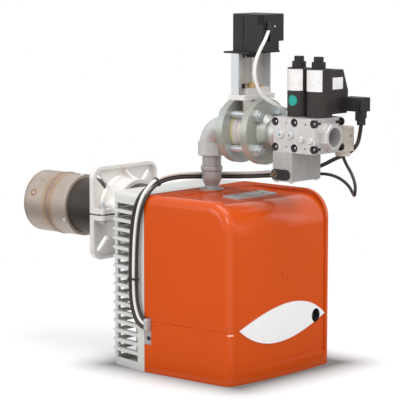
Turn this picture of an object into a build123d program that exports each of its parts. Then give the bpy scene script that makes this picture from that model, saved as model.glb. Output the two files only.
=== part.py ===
from build123d import *
import os
from math import cos, pi, radians, sin, sqrt, tan

# Two-stage monobloc gas burner with its gas train, millimetres, +Z up.
# X = 0 is the middle of the burner, Y = 0 the joint between cover and slatted housing,
# Z = 0 the surface it stands on. The front faces -Y and the blast tube points along +Y.

# ---- Driving sizes: enclosure -------------------------------------------------------
cover_width = 286.8
cover_taper = 4.4
cover_height = 314.0
cover_depth = 201.5
cover_barrel_radius = 1078.0
cover_top_round = 50.0
cover_edge_round = 16.0
cover_skin = 2.5
panel_recess = 2.5
panel_step = 2.0
panel_slope = 0.05
panel_rear_y = -50.0
panel_rear_margin = 46.4
panel_front_margin = 22.4
panel_front_y = -165.0
panel_bottom_z = 25.0
housing_depth = 94.3
housing_taper = 18.4
housing_step = 1.0
housing_skin = 3.0
housing_corner_round = 14.0
housing_band_height = 20.0
housing_foot_height = 14.0
slat_count = 16
slat_end_gap = 14.5
slat_thickness = 6.0
slat_depth = 8.0
slat_front_y = 20.0
slat_rear_half = 66.0
post_width = 7.0
post_inset = 3.0
chassis_thickness = 6.0
fit_gap = 0.5
running_gap = 0.05

# ---- Driving sizes: air side --------------------------------------------------------
fan_axis_z = 108.0
fan_radius = 72.0
fan_inlet_radius = 50.0
fan_blade_count = 24
fan_back_y = 6.0
fan_width = 44.0
blade_thickness = 1.4
scroll_start_gap = 8.0
scroll_end_gap = 30.0
scroll_width = 57.0
scroll_skin = 3.0
shaft_radius = 6.35
motor_radius = 55.0
motor_length = 94.0
port_count = 3
port_angle = 56.0
port_inner_radius = 18.0
shutter_thickness = 1.5
shutter_spindle_radius = 4.0

# ---- Driving sizes: combustion head -------------------------------------------------
head_axis_drop = 57.0
tube_radius = 52.0
tube_skin = 2.5
tube_end_y = 345.0
nozzle_step = 5.75
nozzle_skin = 2.5
nozzle_rear_y = 283.0
nozzle_end_y = 394.0
flange_size = 170.0
flange_face_y = 180.8
flange_thickness = 10.0
flange_web = 5.0
flange_rim = 6.0
flange_corner_round = 20.0
flange_split = 3.0
hub_wall = 4.5
hub_flare = 7.5
hub_nose_y = 147.0
slot_inset = 28.0
slot_length = 37.0
slot_width = 11.0
ear_thickness = 9.0
clamp_bolt_x = 73.0
clamp_bolt_y = 169.0

# ---- Driving sizes: gas train -------------------------------------------------------
riser_y = -31.3
neck_radius = 12.0
neck_gap = 0.4
train_axis_rise = 111.1
line_pipe_radius = 16.85
pipe_bore = 13.5
elbow_radius = 22.0
elbow_bend = 33.0
elbow_reach = 46.7
gas_flange_radius = 57.5
gas_flange_thickness = 14.0
rear_neck_length = 13.3
front_neck_length = 26.3
gas_bolt_pcd = 85.0
gas_bolt_radius = 6.0
wafer_radius = 34.0
wafer_width = 37.4
gasket_thickness = 1.5
stem_radius = 4.0
stem_plate_rise = 55.6
stem_plate_thickness = 9.0
stem_block_height = 11.0
yoke_half_width = 43.5
yoke_behind_stem = 12.0
yoke_depth = 16.5
yoke_height = 71.3
yoke_skin = 2.0
actuator_plate_thickness = 3.0
actuator_height = 65.0
actuator_half_width = 29.5
actuator_behind_stem = 21.0
actuator_depth = 67.0
block_half_width = 38.0
block_length = 90.0
rear_boss_length = 18.0
port_boss_length = 14.5
block_below_axis = 28.1
block_height = 60.0
inlet_bore_radius = 16.6
coil_radius = 20.0
coil_height = 83.0
coil_pitch = 42.5
coil_inset = 25.7
pilot_length = 42.0
pilot_height = 50.0
pilot_half_width = 39.0
terminal_inner_x = 13.0
terminal_outer_x = 59.0

# ---- Derived places -----------------------------------------------------------------
barrel_axis_y = cover_barrel_radius - cover_depth
cover_front_width = cover_width - 2 * cover_taper
panel_rear_half = cover_width / 2 - panel_rear_margin
panel_front_half = cover_width / 2 - panel_front_margin
panel_z = cover_height - panel_step
housing_height = cover_height - housing_step
housing_rear_width = cover_width - 2 * housing_taper
housing_band_bottom = housing_height - housing_band_height
slat_first_z = housing_band_bottom - slat_end_gap
slat_last_z = housing_foot_height + slat_end_gap
slat_pitch = (slat_first_z - slat_last_z) / (slat_count - 1)
slat_heights = [slat_first_z - slat_pitch * i for i in range(slat_count)]
head_axis_z = cover_height - head_axis_drop
train_axis_z = cover_height + train_axis_rise
stem_plate_z = train_axis_z + stem_plate_rise
tube_inner = tube_radius - tube_skin
nozzle_radius = tube_radius + nozzle_step
hub_nose_radius = tube_radius + hub_wall
hub_base_radius = hub_nose_radius + hub_flare
slot_centre = flange_size / 2 - slot_inset
scroll_start_radius = fan_radius + scroll_start_gap
scroll_end_radius = fan_radius + scroll_end_gap
stem_block_z = stem_plate_z + stem_plate_thickness
stem_block_top_z = stem_block_z + stem_block_height
yoke_top_z = stem_block_z + yoke_height
actuator_bottom_z = yoke_top_z + actuator_plate_thickness
actuator_top_z = actuator_bottom_z + actuator_height
block_bottom_z = train_axis_z - block_below_axis
block_top_z = block_bottom_z + block_height
pilot_bottom_z = block_bottom_z - pilot_height
coil_top_z = block_top_z + coil_height
elbow_end_y = riser_y - elbow_reach
rear_flange_y = elbow_end_y - rear_neck_length
body_rear_y = rear_flange_y - gas_flange_thickness - gasket_thickness
body_front_y = body_rear_y - wafer_width
front_flange_y = body_front_y - gasket_thickness - gas_flange_thickness
neck_end_y = front_flange_y - front_neck_length
stem_y = (body_rear_y + body_front_y) / 2 - 0.5
yoke_back_y = stem_y + yoke_behind_stem
yoke_front_y = yoke_back_y - yoke_depth
actuator_rear_y = stem_y + actuator_behind_stem
actuator_front_y = actuator_rear_y - actuator_depth
block_rear_y = neck_end_y - rear_boss_length
block_front_y = block_rear_y - block_length
port_face_y = block_front_y - port_boss_length
pilot_rear_y = block_rear_y
pilot_front_y = pilot_rear_y - pilot_length
coil_first_y = block_rear_y - coil_inset
coil_ys = [coil_first_y, coil_first_y - coil_pitch]
plug_x = terminal_outer_x - 6
train_axis = Axis((0, 0, train_axis_z), (0, 1, 0))
head_axis = Axis((0, 0, head_axis_z), (0, 1, 0))

os.makedirs("parts", exist_ok=True)


def save(builder, name):
    builder.part.label = name
    export_step(builder.part, f"parts/{name}.step")


def across(y):
    """Plane square to the blast tube at y: local x is X, local y is Z, and it faces -Y."""
    return Plane.XZ.offset(-y)


def side(x):
    """Plane square to X at x: local x is Y, local y is Z, and it faces +X."""
    return Plane.YZ.offset(x)


def level(z):
    return Plane.XY.offset(z)


def turned(profile, axis):
    """A solid of revolution from (distance along Y, radius) points about a Y axis."""
    centre_z = axis.position.Z
    with BuildPart(mode=Mode.PRIVATE) as lathe:
        with BuildSketch(Plane.YZ):
            with BuildLine():
                Polyline([(y, centre_z + r) for y, r in profile], close=True)
            make_face()
        revolve(axis=axis)
    return lathe.part


def turned_upright(profile, x, y):
    """A solid of revolution from (radius, height) points about an upright axis."""
    with BuildPart(mode=Mode.PRIVATE) as lathe:
        with BuildSketch(Plane.XZ.offset(-y)):
            with BuildLine():
                Polyline([(x + r, z) for r, z in profile], close=True)
            make_face()
        revolve(axis=Axis((x, y, 0), (0, 0, 1)))
    return lathe.part


# ---- Cover: a bowed, glossy hood with a sunken centre panel ------------------------------
def hood_form(top_z, slope, front_in, side_in, foot_z, corner_round, edge_round, back_y):
    """One closed bowed form; the top falls by slope from panel_rear_y to the front."""
    half_turn = 12
    turn = radians(-half_turn)
    start = Plane(origin=(0, barrel_axis_y, 0), x_dir=(-sin(turn), cos(turn), 0),
                  z_dir=(cos(turn), sin(turn), 0))
    front = front_in - cover_barrel_radius
    rear = 10 - barrel_axis_y
    rear_z = top_z + slope * (10 - panel_rear_y)
    front_z = rear_z - slope * (rear - front)
    with BuildPart(mode=Mode.PRIVATE) as form:
        with BuildSketch(start) as profile:
            with BuildLine():
                Polyline((rear, foot_z), (rear, rear_z), (front, front_z), (front, foot_z), close=True)
            make_face()
            fillet(profile.vertices().sort_by_distance((front, front_z))[0], corner_round)
        revolve(axis=Axis((0, barrel_axis_y, 0), (0, 0, 1)), revolution_arc=2 * half_turn)
        with BuildSketch(Plane.XY):
            with BuildLine():
                rear_half = cover_width / 2 - side_in
                front_half = cover_front_width / 2 - side_in
                Polyline((-rear_half, back_y), (rear_half, back_y), (front_half, -cover_depth - 5),
                         (-front_half, -cover_depth - 5), close=True)
            make_face()
        extrude(amount=cover_height + 5, mode=Mode.INTERSECT)
        flanks = form.faces().filter_by(lambda f: abs(f.normal_at().X) > 0.9)
        rims = ShapeList([e for flank in flanks for e in flank.edges()])
        rims = rims.filter_by(lambda e: e.center().Y < -1 and e.center().Z > foot_z + 1)
        fillet(rims, edge_round)
    return form.part


with BuildPart() as panel_cut:
    with BuildSketch(level(panel_bottom_z)):
        with BuildLine():
            Polyline((-panel_rear_half, panel_rear_y), (panel_rear_half, panel_rear_y),
                     (panel_rear_half, -cover_depth / 2), (panel_front_half, panel_front_y),
                     (panel_front_half, -cover_depth - 5), (-panel_front_half, -cover_depth - 5),
                     (-panel_front_half, panel_front_y), (-panel_rear_half, -cover_depth / 2), close=True)
        make_face()
    extrude(amount=cover_height)
    add(hood_form(panel_z, panel_slope, panel_recess, 1.0, -1, cover_top_round - panel_recess, 6.0, 1.0),
        mode=Mode.SUBTRACT)

notch_z = 74.0
notch_height = 48.0
notch_depth = 16.0
button_x = panel_front_half - 30
button_z = 93.5
button_hole_radius = 12.5
screw_z = 180.0
screw_radius = 2.5

with BuildPart() as cover:
    add(hood_form(cover_height, 0, 0, 0, 0, cover_top_round, cover_edge_round, 0))
    add(panel_cut.part, mode=Mode.SUBTRACT)
    cavity_in = panel_recess + cover_skin
    add(hood_form(panel_z - cover_skin, panel_slope, cavity_in, cover_skin, cover_skin,
                  cover_top_round - cavity_in, cover_edge_round - cover_skin, 1.0), mode=Mode.SUBTRACT)
    with Locations((0, riser_y, cover_height)):
        Cylinder(neck_radius + neck_gap, 30, mode=Mode.SUBTRACT)
    with BuildSketch(across(-cover_depth / 2)):
        with Locations((button_x, button_z)):
            Circle(button_hole_radius)
        with Locations((0, screw_z)):
            Circle(screw_radius + fit_gap)
    extrude(amount=cover_depth, mode=Mode.SUBTRACT)
    with Locations((-cover_width / 2, 0, notch_z)):
        Box(20, 2 * notch_depth, notch_height, mode=Mode.SUBTRACT)
save(cover, "cover")

# The lens-shaped blank plate follows the bow of the front and has a hole for the button.
badge_left_x = 8 - panel_front_half
badge_right_x = panel_front_half - 1
badge_thickness = 2.5
with BuildPart() as badge_plate:
    with BuildSketch(across(-cover_depth / 2)):
        with BuildLine():
            Spline((badge_left_x, button_z), (-45, button_z + 25), (29, button_z + 34), (badge_right_x, button_z))
            Spline((badge_right_x, button_z), (35, button_z - 25), (-39, button_z - 31), (badge_left_x, button_z))
        make_face()
        with Locations((button_x, button_z)):
            Circle(button_hole_radius, mode=Mode.SUBTRACT)
    extrude(amount=cover_depth)
    bow = cover_barrel_radius - panel_recess
    with Locations((0, barrel_axis_y, button_z)):
        Cylinder(bow + badge_thickness, 100, mode=Mode.INTERSECT)
        Cylinder(bow, 120, mode=Mode.SUBTRACT)
save(badge_plate, "badge_plate")

# ---- Slatted rear housing ---------------------------------------------------------------
def housing_plan(inward, front_y):
    """Plan of the housing, moved inwards, with its two rear corners rounded."""
    front_half = cover_width / 2 - inward
    rear_half = housing_rear_width / 2 - inward
    rear_y = housing_depth - inward
    with BuildSketch(mode=Mode.PRIVATE) as plan:
        with BuildLine():
            Polyline((-front_half, front_y), (front_half, front_y), (rear_half, rear_y),
                     (-rear_half, rear_y), close=True)
        make_face()
        fillet(plan.vertices().group_by(Axis.Y)[-1], housing_corner_round - inward)
    return plan.sketch


with BuildPart() as slatted_housing:
    with BuildSketch(Plane.XY):
        add(housing_plan(0, 0))
    extrude(amount=housing_height)
    top_rim = slatted_housing.faces().sort_by(Axis.Z)[-1].edges().filter_by(lambda e: e.center().Y > 1)
    fillet(top_rim, 8)
    with BuildSketch(level(housing_skin)):
        add(housing_plan(housing_skin, housing_skin))
    extrude(amount=housing_height - 2 * housing_skin, mode=Mode.SUBTRACT)
    lip = 11
    with Locations((0, 0, housing_height / 2)):
        Box(cover_width - 2 * lip, 3 * housing_skin, housing_height - 2 * housing_skin, mode=Mode.SUBTRACT)
    window_height = housing_band_bottom - housing_foot_height
    window_width = cover_width / 2 - slat_rear_half
    for hand in (-1, 1):
        with Locations((hand * (slat_rear_half + window_width / 2), slat_front_y + housing_depth / 2,
                        housing_foot_height + window_height / 2)):
            Box(window_width + 2, housing_depth, window_height, mode=Mode.SUBTRACT)
    with BuildSketch(*[level(z - slat_thickness / 2) for z in slat_heights]):
        add(housing_plan(0, 0))
        add(housing_plan(slat_depth, -1), mode=Mode.SUBTRACT)
        with Locations((0, housing_depth)):
            Rectangle(2 * slat_rear_half, 2 * housing_depth, mode=Mode.SUBTRACT)
        Rectangle(cover_width, 2 * slat_front_y, mode=Mode.SUBTRACT)
    extrude(amount=slat_thickness)
    post_x = housing_rear_width / 2 - post_inset - post_width / 2
    post_y = housing_depth - post_inset - post_width / 2
    with Locations(*[(hand * post_x, post_y, housing_height / 2) for hand in (-1, 1)]):
        Box(post_width, post_width, housing_height - 2 * housing_skin)
    with Locations((0, housing_depth, head_axis_z)):
        Cylinder(tube_radius + fit_gap, 20, rotation=(90, 0, 0), mode=Mode.SUBTRACT)
save(slatted_housing, "slatted_housing")

# ---- Chassis plate behind the cover --------------------------------------------------------
feed_pipe_radius = 11.0
chassis_half = cover_width / 2 - cover_skin - fit_gap
chassis_foot_z = cover_skin + fit_gap
chassis_top_z = cover_height - 6
cavity_front_y = -cover_depth + panel_recess + cover_skin
with BuildPart() as chassis_plate:
    with BuildSketch(across(0)) as outline:
        with Locations((0, (chassis_top_z + chassis_foot_z) / 2)):
            Rectangle(2 * chassis_half, chassis_top_z - chassis_foot_z)
        fillet(outline.vertices().group_by(Axis.Y)[-1], cover_edge_round)
        with Locations((0, fan_axis_z)):
            Circle(15, mode=Mode.SUBTRACT)
        with Locations((0, head_axis_z)):
            Circle(feed_pipe_radius + fit_gap, mode=Mode.SUBTRACT)
    extrude(amount=chassis_thickness)
    with BuildSketch(across(-chassis_thickness)):
        with Locations((0, screw_z)):
            RegularPolygon(7, 6)
    extrude(amount=-chassis_thickness - cavity_front_y - fit_gap)
    with BuildSketch(across(cavity_front_y + 16)):
        with Locations((0, screw_z)):
            Circle(screw_radius)
    extrude(amount=16, mode=Mode.SUBTRACT)
save(chassis_plate, "chassis_plate")

# ---- Fan, scroll and air shutter -----------------------------------------------------------
def scroll_outline(inward):
    """Spiral round the fan that rises to a collar round the blast tube's axis."""
    tongue = 70
    sweep_angle = 250
    steps = 12
    points = []
    for i in range(steps + 1):
        angle = radians(tongue - sweep_angle * i / steps)
        reach = scroll_start_radius + (scroll_end_radius - scroll_start_radius) * i / steps - inward
        points.append((reach * cos(angle), fan_axis_z + reach * sin(angle)))
    collar = tube_radius - 1 - inward
    with BuildSketch(mode=Mode.PRIVATE) as outline:
        with BuildLine():
            Spline(points)
            Line(points[-1], (-collar, head_axis_z))
            ThreePointArc((-collar, head_axis_z), (0, head_axis_z + collar), (collar, head_axis_z))
            Line((collar, head_axis_z), points[0])
        make_face()
    return outline.sketch


def port_ring(turn):
    """Air ports: openings between spokes, turned round the fan's axis by turn degrees."""
    spoke = radians(180 / port_count - port_angle / 2)
    far = fan_inlet_radius * 1.3
    with BuildSketch(mode=Mode.PRIVATE) as ports:
        Circle(fan_inlet_radius)
        Circle(port_inner_radius, mode=Mode.SUBTRACT)
        with PolarLocations(0, port_count, start_angle=turn):
            with BuildLine():
                Polyline((0, 0), (far * cos(spoke), -far * sin(spoke)), (far, 0),
                         (far * cos(spoke), far * sin(spoke)), close=True)
            make_face(mode=Mode.SUBTRACT)
    return Pos(0, fan_axis_z) * ports.sketch


spigot_length = 18.0
with BuildPart() as fan_scroll:
    with BuildSketch(across(scroll_width)):
        add(scroll_outline(0))
    extrude(amount=scroll_width)
    with BuildSketch(across(scroll_width + spigot_length)):
        with Locations((0, head_axis_z)):
            Circle(tube_inner - running_gap)
    extrude(amount=spigot_length)
    with BuildSketch(across(scroll_width - scroll_skin)):
        add(scroll_outline(scroll_skin))
    extrude(amount=scroll_width - 2 * scroll_skin, mode=Mode.SUBTRACT)
    with BuildSketch(across(scroll_width + spigot_length)):
        with Locations((0, head_axis_z)):
            Circle(tube_inner - running_gap - scroll_skin)
    extrude(amount=spigot_length + scroll_skin, mode=Mode.SUBTRACT)
    with BuildSketch(across(scroll_width)):
        add(port_ring(0))
        with Locations((0, fan_axis_z)):
            Circle(shutter_spindle_radius + running_gap)
    extrude(amount=scroll_skin, mode=Mode.SUBTRACT)
    with BuildSketch(across(scroll_skin)):
        with Locations((0, fan_axis_z)):
            Circle(8)
        with Locations((0, head_axis_z)):
            Circle(feed_pipe_radius + fit_gap)
    extrude(amount=scroll_skin, mode=Mode.SUBTRACT)
save(fan_scroll, "fan_scroll")

with BuildPart() as fan_wheel:
    fan_front_y = fan_back_y + fan_width
    with BuildSketch(across(fan_back_y + 2)):
        with Locations((0, fan_axis_z)):
            Circle(fan_radius)
    extrude(amount=2)
    with BuildSketch(across(fan_back_y + 24)):
        with Locations((0, fan_axis_z)):
            Circle(12)
    extrude(amount=24)
    with BuildSketch(across(fan_front_y)):
        with Locations((0, fan_axis_z)):
            Circle(fan_radius)
            Circle(fan_inlet_radius + fit_gap, mode=Mode.SUBTRACT)
    extrude(amount=2)
    blade_in = fan_inlet_radius + 2
    blade_out = fan_radius - 1.5
    with BuildLine(mode=Mode.PRIVATE) as blade_line:
        ThreePointArc((blade_in, 0), ((blade_in + blade_out) / 2, 2), (blade_out, 9))
    with BuildSketch(across(fan_front_y - 2)):
        with Locations((0, fan_axis_z)):
            with PolarLocations(0, fan_blade_count):
                SlotArc(blade_line.edges()[0], blade_thickness)
    extrude(amount=fan_width - 4)
    with BuildSketch(across(fan_front_y)):
        with Locations((0, fan_axis_z)):
            Circle(shaft_radius)
    extrude(amount=fan_width, mode=Mode.SUBTRACT)
save(fan_wheel, "fan_wheel")

motor_front_y = -chassis_thickness - motor_length
with BuildPart() as fan_motor:
    bell = motor_radius - 9
    add(turned([(-chassis_thickness, 0), (-chassis_thickness, motor_radius), (motor_front_y, motor_radius),
                (motor_front_y - 4, bell), (motor_front_y - 12, bell - 3), (motor_front_y - 12, 0)],
               Axis((0, 0, fan_axis_z), (0, 1, 0))))
    with BuildSketch(across(-chassis_thickness)):
        with Locations((0, fan_axis_z)):
            Circle(shaft_radius + running_gap)
    extrude(amount=motor_length - 20, mode=Mode.SUBTRACT)
save(fan_motor, "fan_motor")

with BuildPart() as motor_shaft:
    with BuildSketch(across(fan_back_y + 26)):
        with Locations((0, fan_axis_z)):
            Circle(shaft_radius)
    extrude(amount=fan_back_y + 26 + chassis_thickness + motor_length - 24)
save(motor_shaft, "motor_shaft")

servo_rear_y = 64.0
servo_size = 58.0
servo_depth = 24.0
bracket_skin = 3.0
with BuildPart() as air_shutter:
    shutter_y = scroll_width + 0.3
    with BuildSketch(across(shutter_y + shutter_thickness)):
        with Locations((0, fan_axis_z)):
            Circle(fan_inlet_radius + 2)
        add(port_ring(180 / port_count), mode=Mode.SUBTRACT)
    extrude(amount=shutter_thickness)
    with BuildSketch(across(servo_rear_y + 10)):
        with Locations((0, fan_axis_z)):
            Circle(shutter_spindle_radius)
    extrude(amount=servo_rear_y + 10 - scroll_width + scroll_skin)
save(air_shutter, "air_shutter")

with BuildPart() as servo_bracket:
    bracket_half = fan_inlet_radius + 12
    with BuildSketch(across(servo_rear_y)):
        with Locations((0, fan_axis_z)):
            Rectangle(2 * bracket_half, 20)
            Circle(shutter_spindle_radius + 2, mode=Mode.SUBTRACT)
    extrude(amount=bracket_skin)
    with BuildSketch(across(servo_rear_y - bracket_skin)):
        with Locations(*[(hand * (bracket_half - 3), fan_axis_z) for hand in (-1, 1)]):
            Rectangle(6, 20)
    extrude(amount=servo_rear_y - bracket_skin - scroll_width)
save(servo_bracket, "servo_bracket")

with BuildPart() as air_servomotor:
    with BuildSketch(across(servo_rear_y + servo_depth)):
        with Locations((0, fan_axis_z)):
            RectangleRounded(servo_size, servo_size, 5)
    extrude(amount=servo_depth)
    with BuildSketch(across(servo_rear_y + 11)):
        with Locations((0, fan_axis_z)):
            Circle(shutter_spindle_radius + running_gap)
    extrude(amount=11, mode=Mode.SUBTRACT)
save(air_servomotor, "air_servomotor")

# ---- Controls on the chassis, under the cover --------------------------------------------------
box_round = 3.0


def chassis_box(x, z, width, height, depth):
    """A closed housing screwed to the front of the chassis plate."""
    with BuildPart(mode=Mode.PRIVATE) as housing:
        with BuildSketch(across(-chassis_thickness)):
            with Locations((x, z)):
                RectangleRounded(width, height, box_round)
        extrude(amount=depth)
        fillet(housing.faces().sort_by(Axis.Y)[0].edges(), box_round / 2)
    return housing.part


control_depth = 144.0
button_radius = 8.0
button_travel = 3.0
button_seat = 8.0
with BuildPart() as control_box:
    add(chassis_box(button_x + 5, button_z + 12, 62, 120, control_depth))
    with BuildSketch(across(-chassis_thickness - control_depth + button_seat)):
        with Locations((button_x, button_z)):
            Circle(button_radius + running_gap)
    extrude(amount=button_seat, mode=Mode.SUBTRACT)
save(control_box, "control_box")

button_front_y = -cover_depth + 11.5
with BuildPart() as reset_button:
    button_rear_y = -chassis_thickness - control_depth + button_seat - button_travel - 1
    with BuildSketch(across(button_rear_y)):
        with Locations((button_x, button_z)):
            Circle(button_radius)
    extrude(amount=button_rear_y - button_front_y)
    fillet(reset_button.faces().sort_by(Axis.Y)[0].edges(), 1.5)
save(reset_button, "reset_button")

with BuildPart() as ignition_transformer:
    add(chassis_box(52.4 - chassis_half, chassis_top_z - 46, 66, 62, 88))
save(ignition_transformer, "ignition_transformer")

air_switch_x = 44.4 - chassis_half
air_switch_z = 170.0
with BuildPart() as air_pressure_switch:
    add(chassis_box(air_switch_x, air_switch_z, 54, 54, 46))
    with BuildSketch(across(-chassis_thickness - 46)):
        with Locations((air_switch_x, air_switch_z)):
            Circle(20)
    extrude(amount=12)
save(air_pressure_switch, "air_pressure_switch")

with BuildPart() as cover_screw:
    screw_seat_y = -cover_depth + panel_recess
    with BuildSketch(across(cavity_front_y + 14)):
        with Locations((0, screw_z)):
            Circle(screw_radius)
    extrude(amount=cavity_front_y + 14 - screw_seat_y)
    with BuildSketch(across(screw_seat_y)):
        with Locations((0, screw_z)):
            Circle(2 * screw_radius)
    extrude(amount=2)
    fillet(cover_screw.faces().sort_by(Axis.Y)[0].edges(), 1.5)
save(cover_screw, "cover_screw")

# The cables leave through a rubber gland in the cover's side notch.
notch_top_z = notch_z + notch_height / 2
gland_rear_y = -6.2
gland_front_y = -14.5
gland_outer_x = -cover_width / 2 - 8.5
bracket_x = 5.8 - cover_width / 2
with BuildPart() as cable_bracket:
    with BuildSketch(level(notch_z - notch_height / 2 - 3)):
        with Locations(((2 * bracket_x - 2.5) / 2, -chassis_thickness - 8)):
            Rectangle(2.5, 16)
        with Locations((bracket_x + 8, -chassis_thickness - 1.25)):
            Rectangle(16, 2.5)
    extrude(amount=notch_height + 6)
    with BuildSketch(side(bracket_x - 2.5)):
        with Locations((-10, notch_z - 12)):
            Circle(4)
    extrude(amount=-3)
    fillet(cable_bracket.faces().sort_by(Axis.X)[0].edges(), 1)
save(cable_bracket, "cable_bracket")

with BuildPart() as cable_gland:
    gland_low_z = notch_top_z - 24
    with BuildSketch(across(gland_rear_y)):
        with Locations(((gland_outer_x + bracket_x - 2.5) / 2, gland_low_z + 11.5)):
            RectangleRounded(bracket_x - 2.5 - gland_outer_x, 23, 3)
    extrude(amount=gland_rear_y - gland_front_y)
save(cable_gland, "cable_gland")

# ---- Combustion head ---------------------------------------------------------------------------
with BuildPart() as blast_tube:
    tube_start_y = scroll_width + 0.3
    add(turned([(tube_start_y, tube_inner), (tube_start_y, tube_radius), (tube_end_y, tube_radius),
                (tube_end_y, tube_inner)], head_axis))
save(blast_tube, "blast_tube")

with BuildPart() as nozzle:
    nozzle_inner = nozzle_radius - nozzle_skin
    lip_inner = tube_radius + running_gap
    bead_y = 333.0
    add(turned([(nozzle_rear_y, lip_inner), (nozzle_rear_y, nozzle_radius), (nozzle_end_y, nozzle_radius),
                (nozzle_end_y, nozzle_inner), (nozzle_rear_y + 60, nozzle_inner),
                (nozzle_rear_y + 60, lip_inner), (nozzle_rear_y + 54, lip_inner),
                (nozzle_rear_y + 54, nozzle_inner), (nozzle_rear_y + 6, nozzle_inner),
                (nozzle_rear_y + 6, lip_inner)], head_axis))
    with BuildSketch(Plane.YZ):
        with Locations((bead_y, head_axis_z + nozzle_radius)):
            Ellipse(4.5, 1.4)
    revolve(axis=head_axis)
save(nozzle, "nozzle")

pipe_wall = 2.5
head_y = 337.0
pipe_top_z = cover_height - 14
with BuildPart() as feed_tube:
    with BuildLine() as pipe_route:
        FilletPolyline((0, riser_y, pipe_top_z), (0, riser_y, head_axis_z), (0, head_y, head_axis_z), radius=26)
    with BuildSketch(level(pipe_top_z)):
        with Locations((0, riser_y)):
            Circle(feed_pipe_radius)
            Circle(feed_pipe_radius - pipe_wall, mode=Mode.SUBTRACT)
    sweep(path=pipe_route.line)

with BuildPart() as gas_head_core:
    add(turned([(head_y, 0), (head_y, feed_pipe_radius), (head_y + 4, 19), (head_y + 20, 19),
                (head_y + 24, 15), (head_y + 24, 0)], head_axis))

electrode_reach = 31.0
electrode_angles = (90, 210, 330)
electrode_radius = 4.0
electrode_spots = [(electrode_reach * cos(radians(a)), head_axis_z + electrode_reach * sin(radians(a)))
                   for a in electrode_angles]
disc_y = head_y + 16
with BuildPart() as gas_head:
    add(gas_head_core.part)
    with BuildSketch(across(disc_y)):
        with Locations((0, head_axis_z)):
            Circle(nozzle_inner - 5)
            Circle(18, mode=Mode.SUBTRACT)
            with PolarLocations(electrode_reach + 4, 9, start_angle=10):
                SlotOverall(20, 3.5, rotation=25, mode=Mode.SUBTRACT)
        with Locations(*electrode_spots):
            Circle(electrode_radius + 1, mode=Mode.SUBTRACT)
    extrude(amount=2)
save(gas_head, "gas_head")

spider_y = 300.0
spider_reach = tube_inner - 1.2
with BuildPart() as gas_feed_pipe:
    add(feed_tube.part)
    with BuildSketch(across(spider_y + 5)):
        with Locations((0, head_axis_z)):
            Circle(feed_pipe_radius + 5)
            for angle in electrode_angles:
                with Locations(Rot(0, 0, angle) * Pos(spider_reach / 2, 0)):
                    Rectangle(spider_reach, 16)
            Circle(feed_pipe_radius - 1, mode=Mode.SUBTRACT)
        with Locations(*electrode_spots):
            Circle(electrode_radius + running_gap, mode=Mode.SUBTRACT)
    extrude(amount=5)
save(gas_feed_pipe, "gas_feed_pipe")

with BuildPart() as electrodes:
    with BuildSketch(across(disc_y - 8)):
        with Locations(*electrode_spots):
            Circle(electrode_radius)
    extrude(amount=80)
    with BuildSketch(across(disc_y + 14)):
        with Locations(*electrode_spots):
            Circle(1.3)
    extrude(amount=22)
save(electrodes, "electrodes")

# ---- Split boiler flange that clamps on the blast tube ----------------------------------------------
with BuildPart() as whole_flange:
    flange_back_y = flange_face_y + flange_thickness
    with BuildSketch(across(flange_back_y)):
        with Locations((0, head_axis_z)):
            RectangleRounded(flange_size, flange_size, flange_corner_round)
    extrude(amount=flange_thickness)
    with BuildSketch(across(flange_back_y - flange_web)):
        with Locations((0, head_axis_z)):
            inner_size = flange_size - 2 * flange_rim
            RectangleRounded(inner_size, inner_size, flange_corner_round - flange_rim)
    extrude(amount=flange_thickness - flange_web, mode=Mode.SUBTRACT)
    web_y = flange_back_y - flange_web
    add(turned([(web_y, 0), (web_y, hub_base_radius + 3), (web_y - 4, hub_base_radius),
                (hub_nose_y + 6, hub_nose_radius + 1.5), (hub_nose_y + 6, hub_nose_radius + 3),
                (hub_nose_y, hub_nose_radius + 3), (hub_nose_y, 0)], head_axis))
    gusset = 4.0
    with BuildSketch(side(-gusset / 2)):
        with BuildLine():
            Polyline((web_y, head_axis_z), (web_y, head_axis_z + 76), (web_y - 4, head_axis_z + 75),
                     (hub_nose_y + 6, head_axis_z + hub_nose_radius), close=True)
        make_face()
    extrude(amount=gusset)
    ear_height = 2 * ear_thickness + flange_split
    for hand in (-1, 1):
        with BuildSketch(level(head_axis_z - ear_height / 2)) as ear:
            with Locations((hand * (flange_size / 2 + hub_nose_radius) / 2, (web_y + clamp_bolt_y - 11) / 2)):
                Rectangle(flange_size / 2 - hub_nose_radius, web_y - clamp_bolt_y + 11)
            fillet(ear.vertices().group_by(Axis.Y)[0].sort_by(Axis.X)[-1 if hand > 0 else 0], 9)
        extrude(amount=ear_height)
    with BuildSketch(across(flange_back_y)):
        for angle in (45, 135, 225, 315):
            reach = slot_centre * sqrt(2)
            spot = (reach * cos(radians(angle)), head_axis_z + reach * sin(radians(angle)))
            with Locations(spot):
                SlotOverall(slot_length, slot_width, rotation=angle)
    extrude(amount=flange_thickness, mode=Mode.SUBTRACT)
    with BuildSketch(across(flange_back_y)):
        with Locations((0, head_axis_z)):
            Circle(tube_radius + running_gap)
    extrude(amount=60, mode=Mode.SUBTRACT)
    with BuildSketch(level(head_axis_z - 20)):
        with Locations(*[(hand * clamp_bolt_x, clamp_bolt_y) for hand in (-1, 1)]):
            Circle(4.2)
    extrude(amount=40, mode=Mode.SUBTRACT)
    with Locations((0, flange_face_y, head_axis_z)):
        Box(2 * flange_size, flange_size, flange_split, mode=Mode.SUBTRACT)

with BuildPart() as boiler_flange_upper:
    add(whole_flange.part)
    split(bisect_by=level(head_axis_z), keep=Keep.TOP)
save(boiler_flange_upper, "boiler_flange_upper")

with BuildPart() as boiler_flange_lower:
    add(whole_flange.part)
    split(bisect_by=level(head_axis_z), keep=Keep.BOTTOM)
save(boiler_flange_lower, "boiler_flange_lower")

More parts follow.
